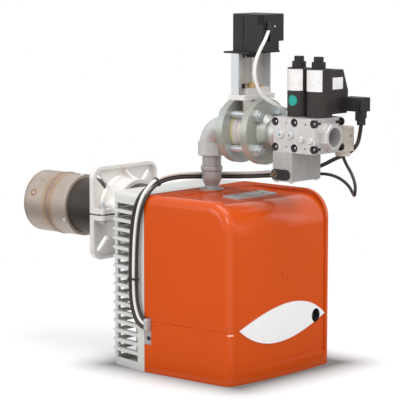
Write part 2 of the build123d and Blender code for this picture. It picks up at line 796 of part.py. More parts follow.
with BuildPart() as clamp_bolts:
    spots = [(hand * clamp_bolt_x, clamp_bolt_y) for hand in (-1, 1)]
    ear_top_z = head_axis_z + ear_height / 2
    ear_low_z = head_axis_z - ear_height / 2
    with BuildSketch(level(ear_low_z)):
        with Locations(*spots):
            Circle(4)
    extrude(amount=ear_height + 11)
    with BuildSketch(level(ear_low_z - 5.5)):
        with Locations(*spots):
            RegularPolygon(7.5, 6)
    extrude(amount=5.5)
    with BuildSketch(level(ear_top_z)):
        with Locations(*spots):
            RegularPolygon(7.5, 6)
    extrude(amount=6.5)
save(clamp_bolts, "clamp_bolts")

# ---- Gas pipework -------------------------------------------------------------------------------------
washer_z = cover_height
washer_thickness = 2.0
nipple_z = train_axis_z - 69.1
collar_z = nipple_z - 7
elbow_z = nipple_z + 19
band_height = 24.0
with BuildPart() as reducer:
    add(turned_upright([(neck_radius + 0.3, washer_z), (21.5, washer_z), (21.5, washer_z + washer_thickness),
                        (neck_radius + 0.3, washer_z + washer_thickness)], 0, riser_y))
    add(turned_upright([(8.5, pipe_top_z), (neck_radius, pipe_top_z), (neck_radius, collar_z - 28),
                        (13.5, collar_z - 25), (16.4, collar_z - 19), (17.6, collar_z - 13), (17.4, collar_z - 2), (19.5, collar_z), (19.5, nipple_z - 2),
                        (18.5, nipple_z), (pipe_bore, nipple_z), (pipe_bore, collar_z - 9), (8.5, collar_z - 15)],
                       0, riser_y))
save(reducer, "reducer")

with BuildPart() as nipple:
    add(turned_upright([(pipe_bore, nipple_z), (line_pipe_radius, nipple_z), (line_pipe_radius, elbow_z),
                        (pipe_bore, elbow_z)], 0, riser_y))
save(nipple, "nipple")

with BuildPart() as elbow:
    with BuildLine() as elbow_route:
        FilletPolyline((0, riser_y, elbow_z), (0, riser_y, train_axis_z), (0, elbow_end_y, train_axis_z),
                       radius=elbow_bend)
    with BuildSketch(level(elbow_z)):
        with Locations((0, riser_y)):
            Circle(elbow_radius)
    sweep(path=elbow_route.line)
    with BuildSketch(level(elbow_z)):
        with Locations((0, riser_y)):
            RegularPolygon(band_height, 8, major_radius=False, rotation=22.5)
    extrude(amount=band_height)
    chamfer(elbow.faces().sort_by(Axis.Z)[0].outer_wire().edges(), 1.5)
    with BuildSketch(across(elbow_end_y + 12)):
        with Locations((0, train_axis_z)):
            Circle(elbow_radius + 3)
    extrude(amount=12)
    with BuildSketch(level(elbow_z)):
        with Locations((0, riser_y)):
            Circle(pipe_bore)
    sweep(path=elbow_route.line, mode=Mode.SUBTRACT)
save(elbow, "elbow")

bolt_hole_radius = gas_bolt_radius + fit_gap


def gas_flange(profile, face_y):
    """Round flange with its neck, bored through, with four bolt holes set at 45 degrees."""
    with BuildPart(mode=Mode.PRIVATE) as flange:
        add(turned(profile, train_axis))
        with BuildSketch(across(face_y)):
            with Locations((0, train_axis_z)):
                with PolarLocations(gas_bolt_pcd / 2, 4, start_angle=45):
                    Circle(bolt_hole_radius)
        extrude(amount=gas_flange_thickness, mode=Mode.SUBTRACT)
    return flange.part


rear_face_y = rear_flange_y - gas_flange_thickness
front_back_y = front_flange_y + gas_flange_thickness
with BuildPart() as rear_gas_flange:
    add(gas_flange([(elbow_end_y, pipe_bore), (elbow_end_y, 25), (rear_flange_y, 29),
                    (rear_flange_y, gas_flange_radius), (rear_face_y, gas_flange_radius),
                    (rear_face_y, pipe_bore)], rear_flange_y))
save(rear_gas_flange, "rear_gas_flange")

with BuildPart() as front_gas_flange:
    add(gas_flange([(front_back_y, pipe_bore), (front_back_y, gas_flange_radius),
                    (front_flange_y, gas_flange_radius), (front_flange_y, 30), (front_flange_y - 6, 26),
                    (front_flange_y - 12, 22), (neck_end_y + 8, 22), (neck_end_y + 7, 26), (neck_end_y, 26),
                    (neck_end_y, pipe_bore)], front_back_y))
save(front_gas_flange, "front_gas_flange")

with BuildPart() as flange_gaskets:
    for face_y in (rear_face_y, body_front_y):
        with BuildSketch(across(face_y)):
            with Locations((0, train_axis_z)):
                Circle(wafer_radius + 2)
                Circle(pipe_bore, mode=Mode.SUBTRACT)
        extrude(amount=gasket_thickness)
save(flange_gaskets, "flange_gaskets")

bolt_head = 7.5
nut_height = 10.0
with BuildPart() as flange_bolts:
    bolt_ring = [Rot(0, 0, a) * Pos(gas_bolt_pcd / 2, 0) for a in (45, 135, 225, 315)]
    bolt_spots = [(p.position.X, train_axis_z + p.position.Y) for p in bolt_ring]
    with BuildSketch(across(rear_flange_y + bolt_head)):
        with Locations(*bolt_spots):
            RegularPolygon(10.9, 6)
    extrude(amount=bolt_head)
    with BuildSketch(across(rear_flange_y)):
        with Locations(*bolt_spots):
            Circle(gas_bolt_radius)
    extrude(amount=rear_flange_y - front_flange_y + nut_height + 4)
    with BuildSketch(across(front_flange_y)):
        with Locations(*bolt_spots):
            RegularPolygon(10.9, 6)
            Circle(gas_bolt_radius + running_gap, mode=Mode.SUBTRACT)
    extrude(amount=nut_height)
save(flange_bolts, "flange_bolts")

# ---- Butterfly valve between the flanges ----------------------------------------------------------------
stem_low_z = train_axis_z - 19
coupling_low_z = stem_block_z + 29.3
coupling_top_z = coupling_low_z + 24
neck_width = 24.0
with BuildPart() as butterfly_body:
    add(turned([(body_rear_y, pipe_bore), (body_rear_y, wafer_radius), (body_rear_y - 7, wafer_radius),
                (body_rear_y - 9, wafer_radius - 4), (body_front_y + 9, wafer_radius - 4),
                (body_front_y + 7, wafer_radius), (body_front_y, wafer_radius), (body_front_y, pipe_bore)],
               train_axis))
    with BuildSketch(level(train_axis_z + wafer_radius - 12)):
        with Locations((0, stem_y)):
            RectangleRounded(neck_width + 8, neck_width, 6)
    extrude(amount=stem_plate_z - train_axis_z - wafer_radius + 12)
    with BuildSketch(level(stem_low_z - 0.3)):
        with Locations((0, stem_y)):
            Circle(stem_radius + running_gap)
    extrude(amount=stem_plate_z - stem_low_z + 1, mode=Mode.SUBTRACT)
save(butterfly_body, "butterfly_body")

with BuildPart() as butterfly_disc:
    boss = 5.5
    with BuildSketch(across(stem_y + 1.5)):
        with Locations((0, train_axis_z)):
            Circle(pipe_bore - 0.3)
    extrude(amount=3)
    with BuildSketch(level(train_axis_z - 11)):
        with Locations((0, stem_y)):
            Circle(boss)
    extrude(amount=22)
    with BuildSketch(level(train_axis_z - pipe_bore)):
        with Locations((0, stem_y)):
            Circle(stem_radius + 0.01)
    extrude(amount=2 * pipe_bore, mode=Mode.SUBTRACT)
save(butterfly_disc, "butterfly_disc")

spindle_top_z = actuator_bottom_z + 14
with BuildPart() as valve_stem:
    with BuildSketch(level(stem_low_z)):
        with Locations((0, stem_y)):
            Circle(stem_radius)
    extrude(amount=coupling_low_z - stem_low_z)
    coupling_radius = 5.5
    with BuildSketch(level(coupling_low_z)):
        with Locations((0, stem_y)):
            Circle(coupling_radius)
    extrude(amount=coupling_top_z - coupling_low_z)
    with Locations((0, stem_y, coupling_low_z + 12)):
        Box(2.2, 3 * coupling_radius, 16, mode=Mode.SUBTRACT)
    with BuildSketch(level(coupling_top_z)):
        with Locations((0, stem_y)):
            Circle(stem_radius)
    extrude(amount=spindle_top_z - coupling_top_z)
save(valve_stem, "valve_stem")

with BuildPart() as stem_plate:
    with BuildSketch(level(stem_plate_z)):
        with Locations((0, (body_rear_y + body_front_y) / 2 + 1)):
            RectangleRounded(2 * yoke_half_width + 1, 37, 6)
        with Locations((0, stem_y)):
            Circle(stem_radius + fit_gap, mode=Mode.SUBTRACT)
    extrude(amount=stem_plate_thickness)
    fillet(stem_plate.faces().sort_by(Axis.Z)[-1].outer_wire().edges(), 1.2)
save(stem_plate, "stem_plate")

with BuildPart() as yoke:
    with BuildSketch(level(stem_block_z)) as channel:
        with Locations((0, (yoke_back_y + yoke_front_y) / 2)):
            Rectangle(2 * yoke_half_width, yoke_back_y - yoke_front_y)
        with Locations((0, (yoke_back_y + yoke_front_y) / 2 - yoke_skin)):
            Rectangle(2 * (yoke_half_width - yoke_skin), yoke_back_y - yoke_front_y, mode=Mode.SUBTRACT)
    extrude(amount=yoke_top_z - stem_block_z)
save(yoke, "yoke")

block_back_y = yoke_back_y - yoke_skin
with BuildPart() as stem_block:
    with BuildSketch(level(stem_block_z)):
        with Locations((0, block_back_y - 11.5)):
            Rectangle(60, 23)
        with Locations((0, stem_y)):
            Circle(stem_radius + fit_gap, mode=Mode.SUBTRACT)
    extrude(amount=stem_block_height)
save(stem_block, "stem_block")

with BuildPart() as stem_fixings:
    with BuildSketch(level(stem_block_top_z)):
        with Locations(*[(hand * 22, block_back_y - 11.5) for hand in (-1, 1)]):
            Circle(4)
    extrude(amount=3)
    fillet(stem_fixings.faces().sort_by(Axis.Z)[-2:].edges(), 1)
    with BuildSketch(level(stem_block_top_z)):
        with Locations((0, stem_y)):
            RegularPolygon(8.6, 6)
            Circle(stem_radius + running_gap, mode=Mode.SUBTRACT)
    extrude(amount=6)
    with BuildSketch(level(stem_block_top_z + 6)):
        with Locations((0, stem_y)):
            Circle(7)
            Circle(stem_radius + running_gap, mode=Mode.SUBTRACT)
    extrude(amount=2.5)
save(stem_fixings, "stem_fixings")

# ---- Butterfly actuator --------------------------------------------------------------------------------
with BuildPart() as actuator_plate:
    with BuildSketch(level(yoke_top_z)):
        with Locations((0, stem_y + 2)):
            RectangleRounded(2 * yoke_half_width, 58, 3)
        with Locations((0, stem_y)):
            Circle(stem_radius + fit_gap, mode=Mode.SUBTRACT)
    extrude(amount=actuator_plate_thickness)
    with BuildSketch(level(yoke_top_z)):
        with Locations((0, stem_y)):
            Circle(9)
            Circle(stem_radius + fit_gap, mode=Mode.SUBTRACT)
    extrude(amount=-8)
save(actuator_plate, "actuator_plate")

lead_x = -16.0
lead_y = actuator_front_y - 3.0
lead_z = actuator_bottom_z + 38
with BuildPart() as actuator:
    actuator_mid_y = (actuator_rear_y + actuator_front_y) / 2
    with BuildSketch(level(actuator_bottom_z)):
        with Locations((0, actuator_mid_y)):
            RectangleRounded(2 * actuator_half_width, actuator_rear_y - actuator_front_y, 2)
    extrude(amount=actuator_top_z - actuator_bottom_z)
    fillet(actuator.faces().sort_by(Axis.Z)[-1].edges(), 1.5)
    with Locations((actuator_half_width, actuator_front_y, actuator_bottom_z)):
        Box(28, 60, 2 * 18, mode=Mode.SUBTRACT)
    with Locations((-13, actuator_front_y, actuator_bottom_z + 28)):
        Box(10, 16, 20, mode=Mode.SUBTRACT)
    with Locations((-actuator_half_width, -130, actuator_bottom_z + 42)):
        Box(2, 1.5, 34, mode=Mode.SUBTRACT)
    with BuildSketch(level(actuator_bottom_z)):
        with Locations((0, stem_y)):
            Circle(stem_radius + running_gap)
    extrude(amount=spindle_top_z - actuator_bottom_z + 1, mode=Mode.SUBTRACT)
    add(turned_upright([(0, lead_z + 15), (1.5, lead_z + 15), (4, lead_z + 3), (4, lead_z), (0, lead_z)],
                       lead_x, lead_y))
save(actuator, "actuator")

# ---- Double solenoid valve --------------------------------------------------------------------------------
screw_ys = [block_rear_y - 5 - 41.5 * i for i in range(3)]
screw_zs = (block_bottom_z + 8.5, block_top_z - 8)
pocket_radius = 6.5
pocket_depth = 9.0
hole_depth = 9.0
screw_head = 5.0
with BuildPart() as valve_block:
    block_mid_y = (block_rear_y + block_front_y) / 2
    with BuildSketch(level(block_bottom_z)):
        with Locations((0, block_mid_y)):
            RectangleRounded(2 * block_half_width, block_rear_y - block_front_y, 2)
    extrude(amount=block_top_z - block_bottom_z)
    with BuildSketch(across(neck_end_y)):
        with Locations((0, train_axis_z)):
            Circle(29)
    extrude(amount=neck_end_y - block_rear_y)
    with BuildSketch(across(block_front_y)):
        with Locations((0, train_axis_z)):
            RegularPolygon(22.5, 8, major_radius=False, rotation=22.5)
    extrude(amount=block_front_y - port_face_y)
    chamfer(valve_block.faces().sort_by(Axis.Y)[0].edges(), 1.5)
    with BuildSketch(across(port_face_y + 44)):
        with Locations((0, train_axis_z)):
            Circle(inlet_bore_radius)
    extrude(amount=44, mode=Mode.SUBTRACT)
    with BuildSketch(across(neck_end_y)):
        with Locations((0, train_axis_z)):
            Circle(pipe_bore)
    extrude(amount=30, mode=Mode.SUBTRACT)
    for hand in (-1, 1):
        with BuildSketch(side(hand * block_half_width)):
            with Locations(*[(y, z) for y in screw_ys for z in screw_zs]):
                Circle(pocket_radius)
        extrude(amount=-hand * pocket_depth, mode=Mode.SUBTRACT)
        with BuildSketch(side(hand * (block_half_width - pocket_depth))):
            with Locations(*[(y, z) for y in screw_ys for z in screw_zs]):
                Circle(3)
        extrude(amount=-hand * hole_depth, mode=Mode.SUBTRACT)
save(valve_block, "valve_block")

with BuildPart() as block_screws:
    for hand in (-1, 1):
        seat_x = hand * (block_half_width - pocket_depth)
        with BuildSketch(side(seat_x)):
            with Locations(*[(y, z) for y in screw_ys for z in screw_zs]):
                Circle(4.8)
        extrude(amount=hand * screw_head)
        with BuildSketch(side(seat_x)):
            with Locations(*[(y, z) for y in screw_ys for z in screw_zs]):
                Circle(2.95)
        extrude(amount=-hand * (hole_depth - 1))
    with BuildSketch(level(pilot_bottom_z)):
        with Locations(*[(1 + h * (pilot_half_width - 5), (pilot_rear_y + pilot_front_y) / 2 + v * 16)
                         for h in (-1, 1) for v in (-1, 1)]):
            Circle(3.5)
    extrude(amount=-2.5)
save(block_screws, "block_screws")

with BuildPart() as test_plugs:
    with BuildSketch(side(-block_half_width)):
        with Locations((block_rear_y - 17, train_axis_z + 1.9), (block_rear_y - 38, train_axis_z + 1.9)):
            Circle(6.5)
        with Locations((block_rear_y - 62, train_axis_z - 4.1), (block_rear_y - 82, train_axis_z - 5.1)):
            Circle(5.8)
    extrude(amount=-3.5)
    fillet(test_plugs.faces().filter_by(Axis.X).group_by(Axis.X)[0].edges(), 0.8)
save(test_plugs, "test_plugs")

for name, coil_y in zip(("safety_coil", "main_coil"), coil_ys):
    with BuildPart() as coil:
        with BuildSketch(level(block_top_z)):
            with Locations((0, coil_y)):
                Circle(coil_radius)
            with Locations((terminal_inner_x / 2, coil_y)):
                Rectangle(terminal_inner_x, 2 * coil_radius)
            with Locations((terminal_inner_x + coil_radius, coil_y)):
                Rectangle(2 * coil_radius, 2 * coil_radius, mode=Mode.SUBTRACT)
        extrude(amount=coil_height)
        fillet(coil.faces().sort_by(Axis.Z)[-1].edges(), 1.5)
    save(coil, name)

with BuildPart() as coil_nuts:
    with BuildSketch(level(coil_top_z)):
        with Locations(*[(0, y) for y in coil_ys]):
            Circle(12)
    extrude(amount=10.5)
    with BuildSketch(level(coil_top_z + 10.5)):
        with Locations(*[(0, y) for y in coil_ys]):
            Circle(8.5)
    extrude(amount=9)
save(coil_nuts, "coil_nuts")

terminal_rear_y = coil_first_y + 17.7
terminal_front_y = coil_first_y - coil_pitch - 17.8
terminal_low_z = block_top_z + 5
terminal_top_z = terminal_low_z + 75
with BuildPart() as terminal_box:
    with BuildSketch(across(terminal_rear_y)) as shape:
        with BuildLine():
            Polyline((terminal_inner_x, terminal_low_z), (terminal_outer_x - 3, terminal_low_z),
                     (terminal_outer_x, terminal_low_z + 38), (terminal_outer_x - 14, terminal_top_z),
                     (terminal_inner_x, terminal_top_z), close=True)
        make_face()
        fillet(shape.vertices().group_by(Axis.X)[-1], 4)
    extrude(amount=terminal_rear_y - terminal_front_y)
save(terminal_box, "terminal_box")

plug_mid_z = terminal_low_z + 16.5
plug_height = 24.0
plug_low_z = plug_mid_z - plug_height / 2
plug_end_z = plug_low_z - 23
plug_front_y = terminal_front_y - 42
plug_gland_y = plug_front_y + 9
with BuildPart() as coil_plug:
    with BuildSketch(across(terminal_front_y)):
        with Locations((plug_x - 5, plug_mid_z)):
            Circle(14)
    extrude(amount=3)
    with BuildSketch(across(terminal_front_y - 3)):
        with Locations((plug_x, plug_mid_z)):
            RectangleRounded(26, plug_height, 2)
    extrude(amount=terminal_front_y - 3 - plug_front_y)
    with BuildSketch(level(plug_low_z + 1)):
        with Locations((plug_x, plug_gland_y)):
            RegularPolygon(9.5, 6)
    extrude(amount=-12)
    with BuildSketch(level(plug_low_z - 11)):
        with Locations((plug_x, plug_gland_y)):
            Circle(7.5)
    extrude(amount=plug_end_z - plug_low_z + 11)
save(coil_plug, "coil_plug")

switch_x = block_half_width + 20.5
switch_front_y = block_front_y + 3
switch_gland_x = switch_x + 3.5
switch_gland_y = switch_front_y + 14
switch_low_z = block_bottom_z - 2
switch_end_z = switch_low_z - 8
with BuildPart() as switch_plug:
    with BuildSketch(level(switch_low_z)) as shape:
        with BuildLine():
            Polyline((block_half_width, switch_front_y + 3), (switch_x - 5, switch_front_y),
                     (switch_x + 19.5, switch_front_y), (switch_x + 19.5, switch_front_y + 28),
                     (block_half_width, switch_front_y + 28), close=True)
        make_face()
        fillet(shape.vertices().group_by(Axis.X)[-1], 4)
    extrude(amount=43)
    fillet(switch_plug.faces().sort_by(Axis.Z)[-1].edges().filter_by(Axis.Y, reverse=True), 3)
    with BuildSketch(level(switch_low_z)):
        with Locations((switch_gland_x, switch_gland_y)):
            Circle(13)
    extrude(amount=switch_end_z - switch_low_z)
save(switch_plug, "gas_pressure_switch")

# ---- Pilot block with its flow adjuster -----------------------------------------------------------------------
with BuildPart() as pilot_block:
    with BuildSketch(level(pilot_bottom_z)):
        with Locations((1, (pilot_rear_y + pilot_front_y) / 2)):
            Rectangle(2 * pilot_half_width, pilot_rear_y - pilot_front_y)
    extrude(amount=block_bottom_z - pilot_bottom_z)
    with BuildSketch(side(1 - pilot_half_width)):
        with Locations((pilot_rear_y - 3.5, pilot_bottom_z + 11.5)):
            Circle(2)
    extrude(amount=4, mode=Mode.SUBTRACT)
save(pilot_block, "pilot_block")

adjuster_y = pilot_rear_y - 3.5
adjuster_z = pilot_bottom_z + 11.5
with BuildPart() as adjuster_plate:
    with BuildSketch(side(1 - pilot_half_width)):
        with Locations((pilot_rear_y - 17.5, adjuster_z)):
            SlotOverall(40.5, 18)
        with Locations((adjuster_y, adjuster_z)):
            Circle(4.05, mode=Mode.SUBTRACT)
        with Locations((pilot_rear_y - 26, adjuster_z)):
            Circle(2.2, mode=Mode.SUBTRACT)
    extrude(amount=-3)
save(adjuster_plate, "adjuster_plate")

with BuildPart() as adjuster_screw:
    screw_face_x = 1 - pilot_half_width - 0.3
    with BuildSketch(side(screw_face_x)):
        with Locations((adjuster_y, adjuster_z)):
            Circle(4)
    extrude(amount=-4.2)
    with BuildSketch(side(screw_face_x)):
        with Locations((adjuster_y, adjuster_z)):
            Circle(1.95)
    extrude(amount=3.3)
    with Locations((-3.5 - pilot_half_width, adjuster_y, adjuster_z)):
        Box(1.2, 7, 1.2, mode=Mode.SUBTRACT)
save(adjuster_screw, "adjuster_screw")

# The bare rating plate lies in the sunken panel, which slopes down towards the front.
plate_left_x = -44.0
plate_right_x = 62.0
plate_rear_y = -94.0
plate_width = 37.0
rating_thickness = 1.5
plate_slope = Plane(origin=(0, panel_rear_y, panel_z), x_dir=(1, 0, 0), z_dir=(0, -panel_slope, 1))
with BuildPart() as rating_plate:
    plate_x = (plate_left_x + plate_right_x) / 2
    plate_y = plate_rear_y - panel_rear_y - plate_width / 2
    with BuildSketch(plate_slope):
        with Locations((plate_x, plate_y)):
            RectangleRounded(plate_right_x - plate_left_x, plate_width, 2)
    extrude(amount=rating_thickness)
    with BuildSketch(plate_slope.offset(rating_thickness)):
        with Locations(*[(plate_x + h * 49.5, plate_y + v * 14) for h in (-1, 1) for v in (-1, 1)]):
            Circle(2)
    extrude(amount=1.2)
save(rating_plate, "rating_plate")

# ---- Cables ------------------------------------------------------------------------------------------
# Each runs from the rubber gland up the side, over the cover and behind the pipework.
plug_lead_radius = 3.5
switch_lead_radius = 2.75
servo_lead_radius = 3.0
plug_route = [
    (-147.5, gland_rear_y, 79.5), (-147.8, 10, 84.5), (-148, 19.5, 99), (-148, 26, 119), (-148, 28.6, 143),
    (-148, 28.9, 186), (-148, 26.7, 235), (-148, 21.8, 276), (-149.5, 8.5, 309), (-124, 6.5, 328.5),
    (-95, 4, 336.7), (-60, 0, 339.2), (-25, -1, 336.6), (6, 1, 333.8), (33, -17, 333.2), (41, -47, 334.5),
    (46, -80, 337), (52.5, -125, 341.5), (55, -180, 349.6), (56, -236, 366.2), (70, -252, 378.3),
    (84, -266, 385.8), (86, -281, 395), (78, -297, 408), (67, -308, 418.1), (57, -318, 430.7),
    (plug_x, plug_gland_y, plug_end_z)]
switch_route = [
    (-147.5, gland_rear_y, 93.3), (-147.8, 1, 98), (-148, 7.2, 110), (-148, 11.6, 125), (-148, 13.6, 146),
    (-148, 13.8, 187), (-148, 11.7, 234), (-148, 6.5, 273.5), (-148.5, -6.3, 307.5), (-124, -5, 327.6),
    (-95, -3.5, 335.8), (-60, -7.2, 338.3), (-27, -8.3, 335.6), (2, -6.5, 332.8), (27, -22, 332.2),
    (34, -49, 333.5), (39, -81, 336), (45.5, -125, 340.5), (48, -180, 346.4), (50, -222, 351.5),
    (58, -246, 353.5), (68, -266, 347), (72, -284, 334), (68, -296, 321), (53, -311, 320), (47, -317, 341),
    (52, -304, 360), (60, -285, 374), (switch_gland_x, switch_gland_y, switch_end_z)]
servo_route = [
    (-147.5, gland_rear_y, 86.7), (-147.8, 4.5, 90.8), (-148, 13, 104.5), (-148, 18.4, 121.5),
    (-148, 20.9, 144), (-148, 21.1, 186.5), (-148, 18.9, 235), (-148, 13.6, 275), (-150.5, 0.5, 309),
    (-125, 0.3, 333.5), (-95, 0.2, 342.5), (-60, -3.7, 345.1), (-26, -4.8, 342.5), (4, -3.5, 339.9),
    (30, -19.5, 339.3), (37.5, -48, 340.5), (42.8, -80.5, 343), (49, -125, 347.5), (51.5, -165, 355),
    (52, -195, 374), (51, -202, 400), (49, -201, 430), (38, -196, 452), (22, -193, 463), (5, -190, 467),
    (-11.5, -182, 477), (-22.3, -177, 483.3), (-33, -176, 491.7), (-42.4, -176, 500.8), (-49, -176, 511.5),
    (-53.9, -176, 523.7), (-54.4, -176, 538), (-50.6, -176, 552.5), (-42.7, -176, 565.7),
    (-33.5, -176, 577.3), (-23.5, -175.8, 589), (lead_x, lead_y, lead_z)]


def cable(route, radius):
    """A round cable along hand-placed points, its straight runs joined by tangent arcs."""
    steps = [Vector(*b) - Vector(*a) for a, b in zip(route, route[1:])]
    bends = []
    for before, after in zip(steps, steps[1:]):
        shorter = min(before.length, after.length)
        bends.append(0.45 * shorter / tan(radians(before.get_angle(after) / 2)))
    with BuildPart(mode=Mode.PRIVATE) as tube:
        with BuildLine() as way:
            FilletPolyline(*route, radius=bends)
        with BuildSketch(Plane(origin=route[0], z_dir=steps[0])):
            Circle(radius)
        sweep(path=way.wire())
    length = way.wire().length
    share = tube.part.volume / (length * pi * radius ** 2)
    runs = [round(step.length) for step in steps]
    turns = [round(a.get_angle(b)) for a, b in zip(steps, steps[1:])]
    print(f"cable {length:.0f} mm, volume share {share:.3f}, runs {runs}")
    print("  turns", turns, "radii", [round(b) for b in bends])
    return tube.part


with BuildPart() as plug_cable:
    add(cable(plug_route, plug_lead_radius))
save(plug_cable, "plug_cable")

with BuildPart() as switch_cable:
    add(cable(switch_route, switch_lead_radius))
save(switch_cable, "switch_cable")

with BuildPart() as servo_cable:
    add(cable(servo_route, servo_lead_radius))
save(servo_cable, "servo_cable")

# Ties round the bundle: one on the side run and one where it comes over the cover.
tie_skin = 1.3
tie_height = 3.6
bundle = ((plug_route, plug_lead_radius), (switch_route, switch_lead_radius), (servo_route, servo_lead_radius))
with BuildPart() as cable_ties:
    for runs in ((4, 4, 4), (9, 9, 9)):
        heads = [(Vector(*way[i]) + Vector(*way[i + 1])) / 2 for (way, size), i in zip(bundle, runs)]
        heading = Vector(*plug_route[runs[0] + 1]) - Vector(*plug_route[runs[0]])
        tie_plane = Plane(origin=heads[0], z_dir=heading)
        for spare, mode in ((tie_skin, Mode.ADD), (0, Mode.SUBTRACT)):
            with BuildSketch(tie_plane):
                for head, (way, size) in zip(heads, bundle):
                    spot = tie_plane.to_local_coords(head)
                    with Locations((spot.X, spot.Y)):
                        Circle(size + fit_gap + spare)
                make_hull()
            extrude(amount=tie_height / 2, both=True, mode=mode)
save(cable_ties, "cable_ties")
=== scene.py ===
import math

import bmesh
import bpy
from mathutils import Matrix, Vector


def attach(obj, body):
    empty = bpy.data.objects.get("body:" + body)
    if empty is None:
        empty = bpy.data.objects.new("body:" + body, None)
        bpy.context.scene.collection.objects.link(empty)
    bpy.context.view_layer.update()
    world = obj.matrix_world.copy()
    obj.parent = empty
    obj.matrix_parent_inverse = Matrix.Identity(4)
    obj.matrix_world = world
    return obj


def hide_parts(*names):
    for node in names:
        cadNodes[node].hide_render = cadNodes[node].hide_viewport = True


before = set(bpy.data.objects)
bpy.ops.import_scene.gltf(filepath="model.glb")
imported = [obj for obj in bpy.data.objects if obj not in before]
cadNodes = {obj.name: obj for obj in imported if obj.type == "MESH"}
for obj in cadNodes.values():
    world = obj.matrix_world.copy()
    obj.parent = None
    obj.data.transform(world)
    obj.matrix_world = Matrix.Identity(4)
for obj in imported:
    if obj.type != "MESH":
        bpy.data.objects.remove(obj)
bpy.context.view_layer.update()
print("frame:", len(cadNodes), "nodes")

# camera: a long lens from the front left and slightly above
cameraSetup = {
    "place": (-2.73903, -2.44631, 0.78061),
    "target": (0.0036, 0.0, 0.2910),
    "lens": 185.86,
    "sensor": 36.0,
}


def placeCamera(setup):
    data = bpy.data.cameras.new("camera")
    data.lens = setup["lens"]
    data.sensor_width = setup["sensor"]
    data.clip_end = 100
    camera = bpy.data.objects.new("camera", data)
    bpy.context.scene.collection.objects.link(camera)
    camera.location = setup["place"]
    heading = Vector(setup["target"]) - Vector(setup["place"])
    camera.rotation_euler = heading.to_track_quat("-Z", "Y").to_euler()
    bpy.context.scene.camera = camera


placeCamera(cameraSetup)


def link(obj):
    bpy.context.scene.collection.objects.link(obj)
    return obj


# the three leads of the bundle: each leaves the side gland and goes back into the gas train
cordRoutes = {
    "plugLead": {
        "node": "plug_cable", "radius": 3.5, "length": 0.798,
        "points": [
            (-147.5, -6.2, 79.5), (-147.8, 10, 84.5), (-148, 19.5, 99), (-148, 26, 119), (-148, 28.6, 143),
            (-148, 28.9, 186), (-148, 26.7, 235), (-148, 21.8, 276), (-149.5, 8.5, 309), (-124, 6.5, 328.5),
            (-95, 4, 336.7), (-60, 0, 339.2), (-25, -1, 336.6), (6, 1, 333.8), (33, -17, 333.2),
            (41, -47, 334.5), (46, -80, 337), (52.5, -125, 341.5), (55, -180, 349.6), (56, -236, 366.2), (70, -252, 378.3),
            (84, -266, 385.8), (86, -281, 395), (78, -297, 408), (67, -308, 418.1), (57, -318, 430.7),
            (53, -323, 443.5)],
    },
    "switchLead": {
        "node": "switch_cable", "radius": 2.75, "length": 0.800,
        "points": [
            (-147.5, -6.2, 93.3), (-147.8, 1, 98), (-148, 7.2, 110), (-148, 11.6, 125), (-148, 13.6, 146),
            (-148, 13.8, 187), (-148, 11.7, 234), (-148, 6.5, 273.5), (-148.5, -6.3, 307.5),
            (-124, -5, 327.6),
            (-95, -3.5, 335.8), (-60, -7.2, 338.3), (-27, -8.3, 335.6), (2, -6.5, 332.8), (27, -22, 332.2),
            (34, -49, 333.5), (39, -81, 336), (45.5, -125, 340.5), (48, -180, 346.4), (50, -222, 351.5),
            (58, -246, 353.5), (68, -266, 347), (72, -284, 334), (68, -296, 321), (53, -311, 320),
            (47, -317, 341), (52, -304, 360), (60, -285, 374), (62, -277, 387)],
    },
    "servoLead": {
        "node": "servo_cable", "radius": 3.0, "length": 0.904,
        "points": [
            (-147.5, -6.2, 86.7), (-147.8, 4.5, 90.8), (-148, 13, 104.5), (-148, 18.4, 121.5),
            (-148, 20.9, 144),
            (-148, 21.1, 186.5), (-148, 18.9, 235), (-148, 13.6, 275), (-150.5, 0.5, 309), (-125, 0.3, 333.5),
            (-95, 0.2, 342.5), (-60, -3.7, 345.1), (-26, -4.8, 342.5), (4, -3.5, 339.9), (30, -19.5, 339.3),
            (37.5, -48, 340.5), (42.8, -80.5, 343), (49, -125, 347.5), (51.5, -165, 355), (52, -195, 374),
            (51, -202, 400), (49, -201, 430), (38, -196, 452), (22, -193, 463), (5, -190, 467),
            (-11.5, -182, 477), (-22.3, -177, 483.3), (-33, -176, 491.7), (-42.4, -176, 500.8),
            (-49, -176, 511.5), (-53.9, -176, 523.7), (-54.4, -176, 538), (-50.6, -176, 552.5),
            (-42.7, -176, 565.7), (-33.5, -176, 577.3), (-23.5, -175.8, 589), (-16, -175, 602)],
    },
}
millimetre = 0.001


def makeCord(name, spec):
    curve = bpy.data.curves.new(name, "CURVE")
    curve.dimensions = "3D"
    # the thickness sits on the points, so the curve's own box stays tight round it
    curve.bevel_depth = 1.0
    curve.bevel_resolution = 5
    curve.resolution_u = 10
    curve.use_fill_caps = True
    spline = curve.splines.new("NURBS")
    spline.points.add(len(spec["points"]) - 1)
    for spot, place in zip(spline.points, spec["points"]):
        spot.co = (*[c * millimetre for c in place], 1)
        spot.radius = spec["radius"] * millimetre
    spline.order_u = 3
    spline.use_endpoint_u = True
    lead = link(bpy.data.objects.new(name, curve))
    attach(lead, "burner")
    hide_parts(spec["node"])
    start = [c * millimetre for c in spec["points"][0]]
    2 * spec["radius"] * millimetre
    return lead


leads = {name: makeCord(name, spec) for name, spec in cordRoutes.items()}
print("cords:", len(leads))


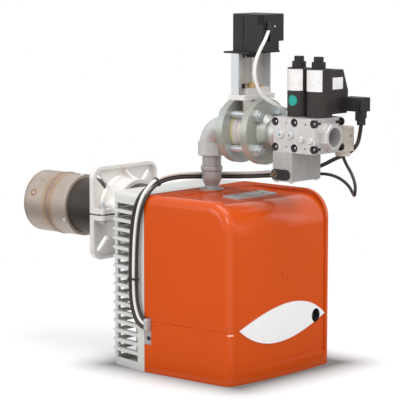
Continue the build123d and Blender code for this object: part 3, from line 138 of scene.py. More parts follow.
# shader maths: a socket that can be used in an expression
class Field:
    def __init__(self, maker, socket):
        self.maker = maker
        self.socket = socket

    def combine(self, operation, other, flipped=False):
        first, second = (other, self) if flipped else (self, other)
        made = self.maker.node("ShaderNodeMath", {"operation": operation}, {0: first, 1: second})
        return Field(self.maker, made.outputs[0])

    def __add__(self, other):
        return self.combine("ADD", other)

    def __radd__(self, other):
        return self.combine("ADD", other, True)

    def __sub__(self, other):
        return self.combine("SUBTRACT", other)

    def __rsub__(self, other):
        return self.combine("SUBTRACT", other, True)

    def __mul__(self, other):
        return self.combine("MULTIPLY", other)

    def __rmul__(self, other):
        return self.combine("MULTIPLY", other, True)

    def __truediv__(self, other):
        return self.combine("DIVIDE", other)

    def __abs__(self):
        return self.combine("ABSOLUTE", 0.0)

    def clamped(self):
        return self.combine("MAXIMUM", 0.0).combine("MINIMUM", 1.0)

    def above(self, limit, softness):
        return ((self - limit) / softness).clamped()

    def near(self, centre, halfWidth, softness):
        return 1 - abs(self - centre).above(halfWidth, softness)


class Maker:
    # builds one material's node tree
    def __init__(self, name):
        self.material = bpy.data.materials.new(name)
        self.material.use_nodes = True
        self.tree = self.material.node_tree
        self.tree.nodes.clear()
        self.output = self.tree.nodes.new("ShaderNodeOutputMaterial")
        self.coords = None

    def node(self, kind, settings=None, values=None):
        made = self.tree.nodes.new(kind)
        for key, value in (settings or {}).items():
            setattr(made, key, value)
        for key, value in (values or {}).items():
            socket = made.inputs[key]
            if isinstance(value, Field):
                self.tree.links.new(value.socket, socket)
            elif value is not None:
                if hasattr(value, "__len__") and len(value) == 3 and socket.type == "RGBA":
                    value = (*value, 1)
                socket.default_value = value
        return made

    def field(self, made, output=0):
        return Field(self, made.outputs[output])

    def place(self):
        if self.coords is None:
            self.coords = self.field(self.node("ShaderNodeTexCoord"), "Object")
        return self.coords

    def axis(self, name):
        split = self.node("ShaderNodeSeparateXYZ", None, {0: self.place()})
        return self.field(split, name)

    def stretched(self, scale, turn=(0, 0, 0)):
        made = self.node("ShaderNodeMapping", None,
                         {"Vector": self.place(), "Scale": scale, "Rotation": turn})
        return self.field(made)

    def noise(self, scale, detail=4.0, roughness=0.55, vector=None, distortion=0.0):
        made = self.node("ShaderNodeTexNoise", None, {
            "Vector": vector or self.place(), "Scale": scale, "Detail": detail, "Roughness": roughness,
            "Distortion": distortion})
        return self.field(made, "Fac" if "Fac" in made.outputs else 0)

    def blend(self, fac, first, second, mode="MIX"):
        made = self.node("ShaderNodeMix", {"data_type": "RGBA", "blend_type": mode},
                         {0: fac, 6: first, 7: second})
        return self.field(made, 2)

    def bump(self, height, distance, strength=1.0, under=None):
        made = self.node("ShaderNodeBump", None, {
            "Height": height, "Distance": distance, "Strength": strength, "Normal": under})
        return self.field(made)

    def softEdge(self, radius):
        return self.field(self.node("ShaderNodeBevel", {"samples": 4}, {"Radius": radius}))

    def surface(self, **sockets):
        names = {key: key.replace("_", " ") for key in sockets}
        shader = self.node("ShaderNodeBsdfPrincipled", None, {names[k]: v for k, v in sockets.items()})
        self.tree.links.new(shader.outputs[0], self.output.inputs[0])
        return self.material


# every finish: two tones, a patch size in 1/m, roughness, grain and the softness of its edges
finishes = {
    "orangeEnamel": {"tone": (0.61, 0.078, 0.005), "second": (0.55, 0.066, 0.004), "patches": 5,
                     "rough": 0.24, "swing": 0.06, "coat": 0.2, "mirror": 0.3, "grain": 900, "bump": 0.00001,
                     "edge": 0.0008},
    "greyEnamel": {"tone": (0.66, 0.66, 0.645), "second": (0.60, 0.60, 0.585), "patches": 9, "rough": 0.38,
                   "swing": 0.12, "grain": 1300, "bump": 0.00003, "edge": 0.0008},
    "tubeBlack": {"tone": (0.026, 0.020, 0.017), "second": (0.050, 0.038, 0.031), "patches": 14,
                  "rough": 0.46, "swing": 0.20, "mirror": 0.3, "grain": 700, "bump": 0.00006, "edge": 0.0005},
    "whiteTrim": {"tone": (0.82, 0.82, 0.82), "second": (0.80, 0.80, 0.80), "patches": 8, "rough": 0.28,
                  "swing": 0.04, "coat": 0.3, "wear": 0.0, "grain": 800, "bump": 0.00001, "edge": 0.0005},
    "galvanised": {"tone": (0.62, 0.62, 0.61), "second": (0.44, 0.45, 0.445), "patches": 45, "rough": 0.40,
                   "swing": 0.18, "metal": 0.35, "grain": 500, "bump": 0.00004, "edge": 0.0007},
    "zincPlate": {"tone": (0.46, 0.475, 0.43), "second": (0.37, 0.38, 0.335), "patches": 14, "rough": 0.36,
                  "swing": 0.14, "metal": 0.42, "grain": 700, "bump": 0.00003, "edge": 0.0008,
                  "tint": (0.42, 0.52, 0.54), "tintScale": 16},
    "blueZinc": {"tone": (0.66, 0.68, 0.69), "second": (0.47, 0.51, 0.55), "patches": 30, "rough": 0.30,
                 "swing": 0.12, "metal": 0.5, "grain": 800, "bump": 0.00001, "edge": 0.0006,
                 "tint": (0.40, 0.41, 0.36), "tintScale": 35},
    "darkZinc": {"tone": (0.42, 0.42, 0.415), "second": (0.30, 0.30, 0.30), "patches": 40, "rough": 0.40,
                 "swing": 0.18, "metal": 0.3, "grain": 500, "bump": 0.00004, "edge": 0.0007},
    "darkBrass": {"tone": (0.22, 0.16, 0.075), "second": (0.13, 0.095, 0.05), "patches": 90, "rough": 0.4,
                  "swing": 0.2, "metal": 0.7, "grain": 900, "bump": 0.00003, "edge": 0.0004},
    "greyCard": {"tone": (0.06, 0.05, 0.045), "second": (0.05, 0.04, 0.035), "patches": 2, "rough": 0.8,
                 "swing": 0.1, "grain": 1500, "bump": 0.00002, "edge": 0.0},
    # near black that paints the shade in holes, gaps and recesses; the dark flags use it too
    "paintedShadeAndFlagBlack": {"tone": (0.012, 0.011, 0.011), "second": (0.022, 0.020, 0.019), "patches": 80, "rough": 0.7,
                 "swing": 0.1, "mirror": 0.2, "grain": 1500, "bump": 0.00002, "edge": 0.0},
    "plugBlue": {"tone": (0.13, 0.28, 0.42), "second": (0.09, 0.20, 0.32), "patches": 90, "rough": 0.4,
                 "swing": 0.1, "grain": 1600, "bump": 0.00002, "edge": 0.0},
    "tealPaint": {"tone": (0.0, 0.33, 0.27), "second": (0.0, 0.28, 0.23), "patches": 50, "rough": 0.4,
                  "swing": 0.1, "grain": 1600, "bump": 0.00002, "edge": 0.0},
    "castAluminium": {"tone": (0.80, 0.77, 0.74), "second": (0.70, 0.67, 0.64), "patches": 30, "rough": 0.40,
                      "swing": 0.18, "metal": 0.3, "grain": 1500, "bump": 0.00006, "edge": 0.0009},
    "blockAluminium": {"tone": (0.70, 0.685, 0.675), "second": (0.50, 0.48, 0.475), "patches": 38,
                       "rough": 0.34, "swing": 0.22, "metal": 0.5, "grain": 1200, "bump": 0.00006, "edge": 0.0009},
    "milledAluminium": {"tone": (0.50, 0.475, 0.465), "second": (0.37, 0.35, 0.345), "patches": 45,
                        "rough": 0.38, "swing": 0.22, "metal": 0.45, "grain": 1200, "bump": 0.00006, "edge": 0.0007},
    "brass": {"tone": (0.76, 0.54, 0.24), "second": (0.56, 0.38, 0.15), "patches": 70, "rough": 0.34,
              "swing": 0.2, "metal": 0.6, "grain": 900, "bump": 0.00002, "edge": 0.0005},
    "steelBright": {"tone": (0.74, 0.73, 0.71), "second": (0.56, 0.55, 0.54), "patches": 80, "rough": 0.30,
                    "swing": 0.14, "metal": 0.6, "grain": 900, "bump": 0.00002, "edge": 0.0005},
    "blackPlastic": {"tone": (0.018, 0.015, 0.016), "second": (0.026, 0.022, 0.023), "patches": 30,
                     "rough": 0.42, "swing": 0.12, "mirror": 0.28, "grain": 2200, "bump": 0.00004, "edge": 0.0008},
    "coilBlack": {"tone": (0.024, 0.020, 0.019), "second": (0.038, 0.033, 0.031), "patches": 24,
                  "rough": 0.48, "swing": 0.14, "mirror": 0.28, "grain": 1800, "bump": 0.00005, "edge": 0.0008},
    "greyPlastic": {"tone": (0.20, 0.20, 0.20), "second": (0.25, 0.25, 0.25), "patches": 20, "rough": 0.5,
                    "swing": 0.1, "grain": 1800, "bump": 0.00005, "edge": 0.0006},
    "tanPlastic": {"tone": (0.50, 0.44, 0.38), "second": (0.41, 0.36, 0.31), "patches": 40, "rough": 0.45,
                   "swing": 0.12, "grain": 1500, "bump": 0.00005, "edge": 0.0009},
    "whitePlastic": {"tone": (0.78, 0.77, 0.74), "second": (0.68, 0.67, 0.64), "patches": 35, "rough": 0.42,
                     "swing": 0.1, "grain": 1800, "bump": 0.00003, "edge": 0.0005},
    "yellowFibre": {"tone": (0.74, 0.66, 0.36), "second": (0.60, 0.52, 0.26), "patches": 90, "rough": 0.8,
                    "swing": 0.1, "grain": 1600, "bump": 0.0001, "edge": 0.0003},
    "blackRubber": {"tone": (0.024, 0.020, 0.018), "second": (0.042, 0.036, 0.032), "patches": 40,
                    "rough": 0.42, "swing": 0.12, "mirror": 0.4, "grain": 1600, "bump": 0.00004, "edge": 0.0},
    "whiteRubber": {"tone": (0.82, 0.805, 0.77), "second": (0.74, 0.72, 0.68), "patches": 40, "rough": 0.42,
                    "swing": 0.12, "grain": 1600, "bump": 0.00003, "edge": 0.0},
    "ceramic": {"tone": (0.78, 0.75, 0.68), "second": (0.60, 0.56, 0.50), "patches": 60, "rough": 0.35,
                "swing": 0.1, "grain": 900, "bump": 0.00003, "edge": 0.0004},
}
madeFinishes = {}


def plainFinish(name, look):
    maker = Maker(name)
    patches = maker.noise(look["patches"], 5, 0.6)
    grain = maker.noise(look["grain"], 2, 0.5)
    speckle = maker.noise(look["grain"] / 6, 3, 0.6)
    share = (patches * 1.6 - 0.3).clamped()
    colour = maker.blend(share, look["tone"], look["second"])
    if "tint" in look:
        bloom = maker.noise(look["tintScale"], 3, 0.5).above(0.50, 0.22) * 0.6
        colour = maker.blend(bloom, colour, look["tint"])
    wearAndHighlight = speckle.above(0.62, 0.12) * look.get("wear", 0.25)
    colour = maker.blend(wearAndHighlight, colour, tuple(0.75 * c for c in look["second"]))
    normal = maker.softEdge(look["edge"]) if look["edge"] > 0 else None
    return maker.surface(
        Base_Color=colour,
        Roughness=look["rough"] + (patches - 0.5) * look["swing"] + (speckle - 0.5) * look["swing"],
        Metallic=look.get("metal", 0.0),
        Coat_Weight=look.get("coat", 0.0),
        Coat_Roughness=0.08,
        Specular_IOR_Level=look.get("mirror", 0.5),
        Normal=maker.bump(grain, look["bump"], 1.0, normal))


def finish(name):
    if name not in madeFinishes:
        madeFinishes[name] = plainFinish(name, finishes[name])
    return madeFinishes[name]


def paint(obj, material):
    obj.data.materials.clear()
    obj.data.materials.append(material)
    return obj


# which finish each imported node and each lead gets
nodeFinishes = {
    "orangeEnamel": ["cover_screw"],
    "whiteTrim": ["badge_plate"],
    "greyEnamel": ["slatted_housing"],
    "tubeBlack": ["blast_tube"],
    "galvanised": ["chassis_plate", "fan_wheel", "air_shutter", "servo_bracket", "cable_bracket",
                   "cable_gland", "elbow", "gas_feed_pipe"],
    "darkZinc": ["reducer", "nipple"],
    "castAluminium": ["boiler_flange_upper", "boiler_flange_lower", "fan_scroll", "fan_motor",
                      "stem_plate", "stem_block", "butterfly_body"],
    "blockAluminium": ["valve_block"],
    "milledAluminium": ["pilot_block"],
    "zincPlate": ["rear_gas_flange", "front_gas_flange"],
    "blueZinc": ["flange_bolts", "clamp_bolts"],
    "steelBright": ["motor_shaft", "valve_stem", "butterfly_disc", "gas_head", "test_plugs"],
    "brass": ["stem_fixings"],
    "darkBrass": ["adjuster_screw"],
    "blackPlastic": ["actuator", "actuator_plate", "coil_nuts", "coil_plug", "ignition_transformer",
                     "adjuster_plate", "reset_button"],
    "coilBlack": ["safety_coil", "main_coil", "terminal_box"],
    "greyPlastic": ["air_servomotor", "control_box"],
    "tanPlastic": ["gas_pressure_switch"],
    "whitePlastic": ["air_pressure_switch"],
    "yellowFibre": ["flange_gaskets"],
    "blackRubber": ["cable_ties"],
    "ceramic": ["electrodes"],
}
nozzleLook = {"tone": (0.47, 0.40, 0.35), "second": (0.38, 0.32, 0.275), "stain": (0.33, 0.25, 0.195),
              "seamY": 0.333, "gold": (0.38, 0.225, 0.10), "violet": (0.20, 0.165, 0.20),
              "soot": (0.24, 0.185, 0.145), "brown": (0.30, 0.15, 0.06), "spot": (-0.0535, 0.3717, 0.2786)}


def nozzleFinish(look):
    # rolled stainless sheet, with heat colours on both sides of the weld
    maker = Maker("stainlessNozzle")
    along = maker.axis("Y")
    patches = maker.noise(18, 5, 0.6)
    stains = maker.noise(28, 6, 0.7, None, 0.6).above(0.50, 0.16)
    stains = stains * (0.25 + along.above(0.325, 0.03) * 0.5)
    brushed = maker.noise(1.0, 4, 0.6, maker.stretched((60, 900, 60)))
    away = abs(along - look["seamY"] + (patches - 0.5) * 0.008)
    gold = (1 - away.above(0.006, 0.012)) * 0.75
    violet = (1 - away.above(0.001, 0.006)) * 0.6
    soot = along.above(0.384, 0.012) * 0.5
    gapToSpot = maker.node("ShaderNodeVectorMath", {"operation": "DISTANCE"},
                           {0: maker.place(), 1: look["spot"]})
    fromSpot = maker.field(gapToSpot, "Value") + (patches - 0.5) * 0.002
    halo = (1 - fromSpot.above(0.0058, 0.0030)) * 0.85
    burnt = (1 - fromSpot.above(0.0028, 0.0012)) * 0.8
    colour = maker.blend((patches * 1.5 - 0.25).clamped(), look["tone"], look["second"])
    colour = maker.blend(stains, colour, look["stain"])
    colour = maker.blend(gold, colour, look["gold"])
    colour = maker.blend(violet, colour, look["violet"])
    colour = maker.blend(soot, colour, look["soot"])
    colour = maker.blend(halo, colour, look["brown"])
    colour = maker.blend(burnt, colour, look["violet"])
    return maker.surface(Base_Color=colour, Roughness=0.36 + brushed * 0.14 + patches * 0.06, Metallic=0.5,
                         Normal=maker.bump(brushed, 0.00006, 1.0, maker.softEdge(0.0006)))


def coverFinish(look):
    # glossy enamel, a fine seam round its foot darkened with painted shade, and a light notch in each front corner
    # that is a painted highlight
    maker = Maker("coverEnamel")
    across, along, height = maker.axis("X"), maker.axis("Y"), maker.axis("Z")
    patches = maker.noise(4, 4, 0.55)
    grain = maker.noise(800, 2, 0.5)
    # the seam and a fainter line over it, on the sides and on the rims of the front
    outside = (along.above(-0.1995, 0.0005) + abs(across).above(0.1185, 0.0008)).clamped()
    seam = (height - look["seamZ"]).near(0, 0.00025, 0.0007) * outside
    upper = (height - look["seamZ"] - 0.008).near(0, 0.00025, 0.0010) * outside * 0.5
    # a light mark low in each front corner: a painted highlight
    notchHighlight = (height - look["seamZ"] + 0.004).near(0, 0.0012, 0.0006)
    notchHighlight = notchHighlight * (abs(across) - 0.1325).near(0, 0.0040, 0.001)
    notchHighlight = notchHighlight * (1 - along.above(-0.188, 0.001))
    lines = (seam + upper).clamped()
    colour = maker.blend((patches * 1.6 - 0.3).clamped(), look["tone"], look["second"])
    # the seam and the fainter line over it are darkened with painted shade, as in a groove
    colour = maker.blend(lines * 0.55, colour, look["paintedSeamShade"])
    colour = maker.blend(notchHighlight, colour, look["wearAndHighlight"])
    rounded = maker.bump(grain, 0.00001, 1.0, maker.softEdge(0.0012))
    return maker.surface(Base_Color=colour, Roughness=0.20 + patches * 0.05, Coat_Weight=0.15,
                         Coat_Roughness=0.05, Specular_IOR_Level=0.27,
                         Normal=maker.bump(lines, -0.0003, 1.0, rounded))


# the seam colour is painted shade in its groove; the corner notch colour is a painted highlight
coverLook = {"tone": (0.605, 0.078, 0.005), "second": (0.555, 0.066, 0.003), "paintedSeamShade": (0.33, 0.030, 0.003),
             "wearAndHighlight": (0.85, 0.42, 0.30), "seamZ": 0.0925}


def ratingFinish(look):
    # bare silver plate with an empty, dark-framed strip
    maker = Maker("ratingSilver")
    across, along = maker.axis("X"), maker.axis("Y")
    brushed = maker.noise(1.0, 3, 0.6, maker.stretched((900, 60, 60)))
    inner = (across - 0.012).near(0, 0.030, 0.0006) * (along + 0.110).near(0, 0.0055, 0.0006)
    outer = (across - 0.012).near(0, 0.034, 0.0006) * (along + 0.110).near(0, 0.0095, 0.0006)
    colour = maker.blend(brushed, look["tone"], look["second"])
    colour = maker.blend(outer, colour, look["frame"])
    colour = maker.blend(inner, colour, look["strip"])
    return maker.surface(Base_Color=colour, Roughness=0.32 + brushed * 0.12, Metallic=0.35,
                         Normal=maker.bump(brushed, 0.00002, 1.0, maker.softEdge(0.0003)))


ratingLook = {"tone": (0.50, 0.51, 0.51), "second": (0.38, 0.385, 0.385), "frame": (0.05, 0.045, 0.040),
              "strip": (0.62, 0.60, 0.57)}


def screwFinish(look):
    # black oxide on the cover screws, pale zinc on the small ones under the pilot block
    maker = Maker("screwMixed")
    patches = maker.noise(70, 4, 0.6)
    low = 1 - maker.axis("Z").above(0.352, 0.001)
    colour = maker.blend(patches, look["oxide"], look["wearAndHighlight"])
    colour = maker.blend(low, colour, look["zinc"])
    return maker.surface(Base_Color=colour, Roughness=0.34 + patches * 0.12, Metallic=0.3 + low * 0.3,
                         Normal=maker.bump(maker.noise(900, 2, 0.5), 0.00003, 1.0, maker.softEdge(0.0004)))


screwLook = {"oxide": (0.022, 0.020, 0.020), "wearAndHighlight": (0.045, 0.042, 0.040), "zinc": (0.62, 0.60, 0.58)}


def labelFinish(look):
    # clean paper with faint rows of short grey rules, which stand for no words
    maker = Maker("labelPaper")
    height = maker.axis("Z")
    rows = height.combine("PINGPONG", look["rowStep"])
    dashes = maker.noise(1.0, 2, 0.5, maker.stretched((260, 260, 90))).above(0.5, 0.06)
    blocks = maker.noise(1.0, 1, 0.5, maker.stretched((40, 40, 60))).above(0.46, 0.05)
    fibres = maker.noise(1500, 3, 0.5)
    share = rows.near(0, 0.00045, 0.0003) * dashes * blocks * look["strength"]
    colour = maker.blend(share, look["paper"], look["print"])
    colour = maker.blend(fibres * 0.06, colour, look["print"])
    return maker.surface(Base_Color=colour, Roughness=0.5 + fibres * 0.1, Normal=maker.bump(fibres, 0.00001))


labelLook = {"paper": (0.80, 0.785, 0.775), "print": (0.30, 0.28, 0.28), "strength": 0.55, "rowStep": 0.0019}


def yokeFinish(look):
    # pale beige steel whose side flanges keep a bluish zinc tone
    maker = Maker("yokeSteel")
    across = abs(maker.axis("X"))
    patches = maker.noise(25, 4, 0.6)
    colour = maker.blend(patches, look["tone"], look["second"])
    colour = maker.blend(across.above(look["flange"], 0.0004), colour, look["blue"])
    return maker.surface(Base_Color=colour, Roughness=0.40 + patches * 0.1, Metallic=0.25,
                         Normal=maker.bump(maker.noise(1200, 2, 0.5), 0.00003, 1.0, maker.softEdge(0.0006)))


yokeLook = {"tone": (0.70, 0.655, 0.615), "second": (0.62, 0.585, 0.555), "blue": (0.60, 0.63, 0.65),
            "flange": 0.0398}


def dressNodes():
    for name, members in nodeFinishes.items():
        for member in members:
            paint(cadNodes[member], finish(name))
    paint(cadNodes["nozzle"], nozzleFinish(nozzleLook))
    paint(cadNodes["cover"], coverFinish(coverLook))
    paint(cadNodes["rating_plate"], ratingFinish(ratingLook))
    paint(cadNodes["yoke"], yokeFinish(yokeLook))
    paint(cadNodes["block_screws"], screwFinish(screwLook))
    for name in ("plugLead", "switchLead"):
        paint(leads[name], finish("blackRubber"))
    paint(leads["servoLead"], finish("whiteRubber"))


dressNodes()
print("materials:", len(bpy.data.materials))


# small pieces, all drawn in millimetres in the shared frame
def meshPiece(name, form, material, smoothBelow=0.6):
    mesh = bpy.data.meshes.new(name)
    bmesh.ops.scale(form, vec=(millimetre,) * 3, verts=form.verts)
    bmesh.ops.recalc_face_normals(form, faces=form.faces)
    form.to_mesh(mesh)
    form.free()
    mesh.shade_smooth()
    mesh.set_sharp_from_angle(angle=smoothBelow)
    piece = paint(link(bpy.data.objects.new(name, mesh)), material)
    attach(piece, "burner")
    return piece


def turnForm(form, profile, centre, direction, sides=28):
    # revolves (radius, height) points about a direction through the centre
    aim = Vector(direction).normalized().to_track_quat("Z", "Y").to_matrix().to_4x4()
    put = Matrix.Translation(centre) @ aim
    rings = []
    for radius, height in profile:
        if radius < 1e-6:
            rings.append([form.verts.new(put @ Vector((0, 0, height)))])
        else:
            rings.append([form.verts.new(put @ Vector((radius * math.cos(a), radius * math.sin(a), height)))
                          for a in (math.tau * k / sides for k in range(sides))])
    for low, high in zip(rings, rings[1:]):
        for k in range(sides):
            corners = [low[k % len(low)], low[(k + 1) % len(low)],
                       high[(k + 1) % len(high)], high[k % len(high)]]
            corners = list(dict.fromkeys(corners))
            if len(corners) > 2:
                form.faces.new(corners)


def slabForm(form, outline, origin, right, up, thick):
    # extrudes an outline, drawn along right and up, by its thickness
    right, up = Vector(right).normalized(), Vector(up).normalized()
    out = right.cross(up)
    low = [form.verts.new(Vector(origin) + right * a + up * b) for a, b in outline]
    high = [form.verts.new(v.co + out * thick) for v in low]
    form.faces.new(low[::-1])
    form.faces.new(high)
    for k in range(len(low)):
        form.faces.new((low[k - 1], low[k], high[k], high[k - 1]))


def roundedOutline(width, height, radius, steps=5):
    points = []
    for cornerX, cornerY, start in ((1, 1, 0), (-1, 1, 90), (-1, -1, 180), (1, -1, 270)):
        for k in range(steps + 1):
            angle = math.radians(start + 90 * k / steps)
            points.append((cornerX * (width / 2 - radius) + radius * math.cos(angle),
                           cornerY * (height / 2 - radius) + radius * math.sin(angle)))
    return points


# nozzle: the middle of its spot weld and two zinc screws
nozzleTrim = {"weld": (-53.5, 371.7, 278.6), "screws": [(-52.7, 289.6, 233.5), (-7.0, 289.0, 314.3)],
              "axisHeight": 257.0, "weldProfile": [(2.3, -0.4), (2.2, 0.3), (1.2, 0.75), (0, 0.85)],
              "screwProfile": [(3.6, -0.5), (3.6, 0.7), (3.0, 1.6), (1.7, 2.2), (1.5, 1.4), (0, 1.3)]}


def outward(place):
    return (place[0], 0, place[2] - nozzleTrim["axisHeight"])


weld = bmesh.new()
turnForm(weld, nozzleTrim["weldProfile"], nozzleTrim["weld"], outward(nozzleTrim["weld"]))
meshPiece("nozzleSpotWeld", weld, finish("steelBright"))
rivets = bmesh.new()
for spot in nozzleTrim["screws"]:
    turnForm(rivets, nozzleTrim["screwProfile"], spot, outward(spot))
meshPiece("nozzleScrews", rivets, finish("blueZinc"))

# valve block: black screw heads whose collars paint shade into the screw pockets, bright sockets that paint a glint
# in each head, plug sockets, and dark discs that paint the shade in the small holes
blockTrim = {"screwY": (-209.0, -250.5, -292.0), "screwZ": (405.5, 449.0), "face": 38.0,
             "collar": [(6.4, -4.2), (7.2, -0.1), (7.1, 0.25), (6.4, 0.3), (5.6, -0.6), (4.9, -1.6),
                        (2.5, -1.8), (2.5, -3.8)],
             "socket": [(2.5, -4.0), (2.1, -2.6), (1.2, -2.2), (0, -2.1)],
             "holes": [(-233.4, 447.9), (-274.7, 447.3), (-233.6, 407.0), (-274.3, 406.0)],
             "plugs": [(-221.0, 427.0), (-242.0, 427.0)], "plugDepth": 3.5,
             "hole": [(1.5, 0.05), (1.3, 0.12), (0, 0.12)], "plug": [(2.3, 0.02), (2.3, 0.10), (0, 0.10)]}
collars, sockets, holes, plugSockets = bmesh.new(), bmesh.new(), bmesh.new(), bmesh.new()
for hand in (-1, 1):
    for y in blockTrim["screwY"]:
        for z in blockTrim["screwZ"]:
            centre = (hand * blockTrim["face"], y, z)
            turnForm(collars, blockTrim["collar"], centre, (hand, 0, 0))
            turnForm(sockets, blockTrim["socket"], centre, (hand, 0, 0), 6)
for y, z in blockTrim["holes"]:
    turnForm(holes, blockTrim["hole"], (-blockTrim["face"], y, z), (-1, 0, 0), 14)
for y, z in blockTrim["plugs"]:
    centre = (-blockTrim["face"] - blockTrim["plugDepth"], y, z)
    turnForm(plugSockets, blockTrim["plug"], centre, (-1, 0, 0), 6)
meshPiece("pocketScrewHeadsAndShade", collars, finish("blackPlastic"))
meshPiece("pocketSocketGlints", sockets, finish("steelBright"))
meshPiece("blockSmallHoleShade", holes, finish("paintedShadeAndFlagBlack"))
meshPiece("plugSockets", plugSockets, finish("plugBlue"))

# thread ridges in the gas inlet
inletTrim = {"axisZ": 425.1, "mouthY": -308.2, "pitch": 2.3, "ridges": 14, "radius": 16.62, "crest": 16.05}
threadProfile = []
for k in range(inletTrim["ridges"]):
    threadProfile += [(inletTrim["radius"], -k * inletTrim["pitch"]),
                      (inletTrim["crest"], -(k + 0.5) * inletTrim["pitch"])]
thread = bmesh.new()
turnForm(thread, threadProfile, (0, inletTrim["mouthY"], inletTrim["axisZ"]), (0, -1, 0), 48)
meshPiece("inletThread", thread, finish("blockAluminium"), smoothBelow=1.2)

# coils: wrapped bare labels and a bare disc
coilTrim = {"radius": 20.12, "rows": {"first": (-229.7, 118, 237), "second": (-272.2, 118, 237)},
            "low": 501.5, "high": 538.0, "disc": (-229.7, 484.6, 184, 9.2)}


def wrapForm(form, centreY, startAngle, endAngle, low, high, radius, steps=20):
    columns = []
    for k in range(steps + 1):
        angle = math.radians(startAngle + (endAngle - startAngle) * k / steps)
        x, y = radius * math.cos(angle), centreY + radius * math.sin(angle)
        columns.append([form.verts.new((x, y, low)), form.verts.new((x, y, high))])
    for one, two in zip(columns, columns[1:]):
        form.faces.new((one[0], two[0], two[1], one[1]))


labelPaper = labelFinish(labelLook)
for name, (centreY, startAngle, endAngle) in coilTrim["rows"].items():
    label = bmesh.new()
    wrapForm(label, centreY, startAngle, endAngle, coilTrim["low"], coilTrim["high"], coilTrim["radius"])
    meshPiece(name + "CoilLabel", label, labelPaper)
disc = bmesh.new()
discY, discZ, discAngle, discRadius = coilTrim["disc"]
discSides, discProud = 32, 0.05
rim = []
for ring in (0.0, 0.5, 1.0):
    spots = []
    for k in range(1 if ring == 0 else discSides):
        turn = math.tau * k / discSides
        swing = math.radians(discAngle) + ring * discRadius * math.cos(turn) / coilTrim["radius"]
        reach = coilTrim["radius"] + discProud
        spots.append(disc.verts.new((reach * math.cos(swing), discY + reach * math.sin(swing),
                                     discZ + ring * discRadius * math.sin(turn))))
    rim.append(spots)
for inner, outer in zip(rim, rim[1:]):
    for k in range(discSides):
        after = (k + 1) % discSides
        corners = [inner[k % len(inner)], outer[k], outer[after], inner[(k + 1) % len(inner)]]
        disc.faces.new(list(dict.fromkeys(corners)))
meshPiece("coilDisc", disc, finish("tealPaint"))

# terminal box: a small bare label
boxLabelTrim = {"width": 30, "height": 20, "corner": 1.0, "place": (29.0, -290.0, 514.0), "thick": 0.15}
boxLabel = bmesh.new()
slabForm(boxLabel, roundedOutline(boxLabelTrim["width"], boxLabelTrim["height"], boxLabelTrim["corner"]),
         boxLabelTrim["place"], (1, 0, 0), (0, 0, 1), boxLabelTrim["thick"])
meshPiece("terminalLabel", boxLabel, labelPaper)

# actuator: dark sheets that paint the shade in its seam and corner notch, a cover screw, and the fixing screw under
# its plate
actuatorTrim = {"seam": [(-29.5, -129.0, 597.0), 1.0, 62.0], "notchSide": [(-29.5, -166.5, 619.5), 9.0, 17.0],
                "notchFront": [(-27.0, -172.0, 619.5), 4.6, 17.0], "screw": (4.0, -172.0, 607.5),
                "stub": (-24.5, -126.0, 561.0),
                "screwProfile": [(1.9, -0.2), (1.9, 0.3), (1.2, 0.7), (0, 0.8)],
                "stubProfile": [(2.6, -0.1), (2.6, 3.2), (1.8, 3.4), (1.8, 8.0), (0, 8.2)]}
dark = bmesh.new()
for key in ("seam", "notchSide"):
    origin, width, height = actuatorTrim[key]
    slabForm(dark, roundedOutline(width, height, 0.3, 2), origin, (0, -1, 0), (0, 0, 1), 0.12)
origin, width, height = actuatorTrim["notchFront"]
slabForm(dark, roundedOutline(width, height, 0.3, 2), origin, (1, 0, 0), (0, 0, 1), 0.12)
meshPiece("actuatorGapShade", dark, finish("paintedShadeAndFlagBlack"))
headOnBox = bmesh.new()
turnForm(headOnBox, actuatorTrim["screwProfile"], actuatorTrim["screw"], (0, -1, 0))
meshPiece("actuatorScrew", headOnBox, finish("steelBright"))
stub = bmesh.new()
turnForm(stub, actuatorTrim["stubProfile"], actuatorTrim["stub"], (0, 0, -1))
meshPiece("actuatorFixing", stub, finish("coilBlack"))

# yoke: the actuator's black hub and a small dark clip
couplingTrim = {"axisY": -126.0, "hub": [(11.5, 561.0), (11.5, 554.0), (9.5, 553.0), (0, 553.0)]}
hub = bmesh.new()
turnForm(hub, couplingTrim["hub"], (0, couplingTrim["axisY"], 0), (0, 0, 1), 32)
meshPiece("actuatorHub", hub, finish("blackPlastic"))

clipTrim = {"origin": (-33.0, -131.0, 504.5), "thick": 5.0,
            "outline": [(-2, -3.8), (2, -3.8), (2, -1), (0.8, -1), (0.8, 1.5), (2, 1.5), (2, 4.5), (-2, 4.5)]}
clip = bmesh.new()
slabForm(clip, clipTrim["outline"], clipTrim["origin"], (1, 0, 0), (0, 0, 1), clipTrim["thick"])
meshPiece("stemClip", clip, finish("blackPlastic"))

# pilot block: scale dots round the flow adjuster
dialTrim = {"centre": (-41.0, -207.5, 358.5), "ring": 6.4, "count": 9, "spread": 300,
            "profile": [(0.75, -0.05), (0.75, 0.12), (0, 0.14)]}
dots = bmesh.new()
for k in range(dialTrim["count"]):
    angle = math.radians(90 - dialTrim["spread"] / 2 + dialTrim["spread"] * k / (dialTrim["count"] - 1))
    x, y, z = dialTrim["centre"]
    spot = (x, y + dialTrim["ring"] * math.cos(angle), z + dialTrim["ring"] * math.sin(angle))
    turnForm(dots, dialTrim["profile"], spot, (-1, 0, 0), 10)
meshPiece("dialDots", dots, finish("whitePlastic"))

# cable bracket: a black screw head
bracketTrim = {"place": (-143.1, -10.0, 62.0),
               "profile": [(3.9, -0.4), (3.9, 0.5), (3.2, 0.9), (1.6, 0.9), (1.6, 0.3), (0, 0.3)]}
bracketScrew = bmesh.new()
turnForm(bracketScrew, bracketTrim["profile"], bracketTrim["place"], (-1, 0, 0))
meshPiece("bracketScrewHead", bracketScrew, finish("coilBlack"))

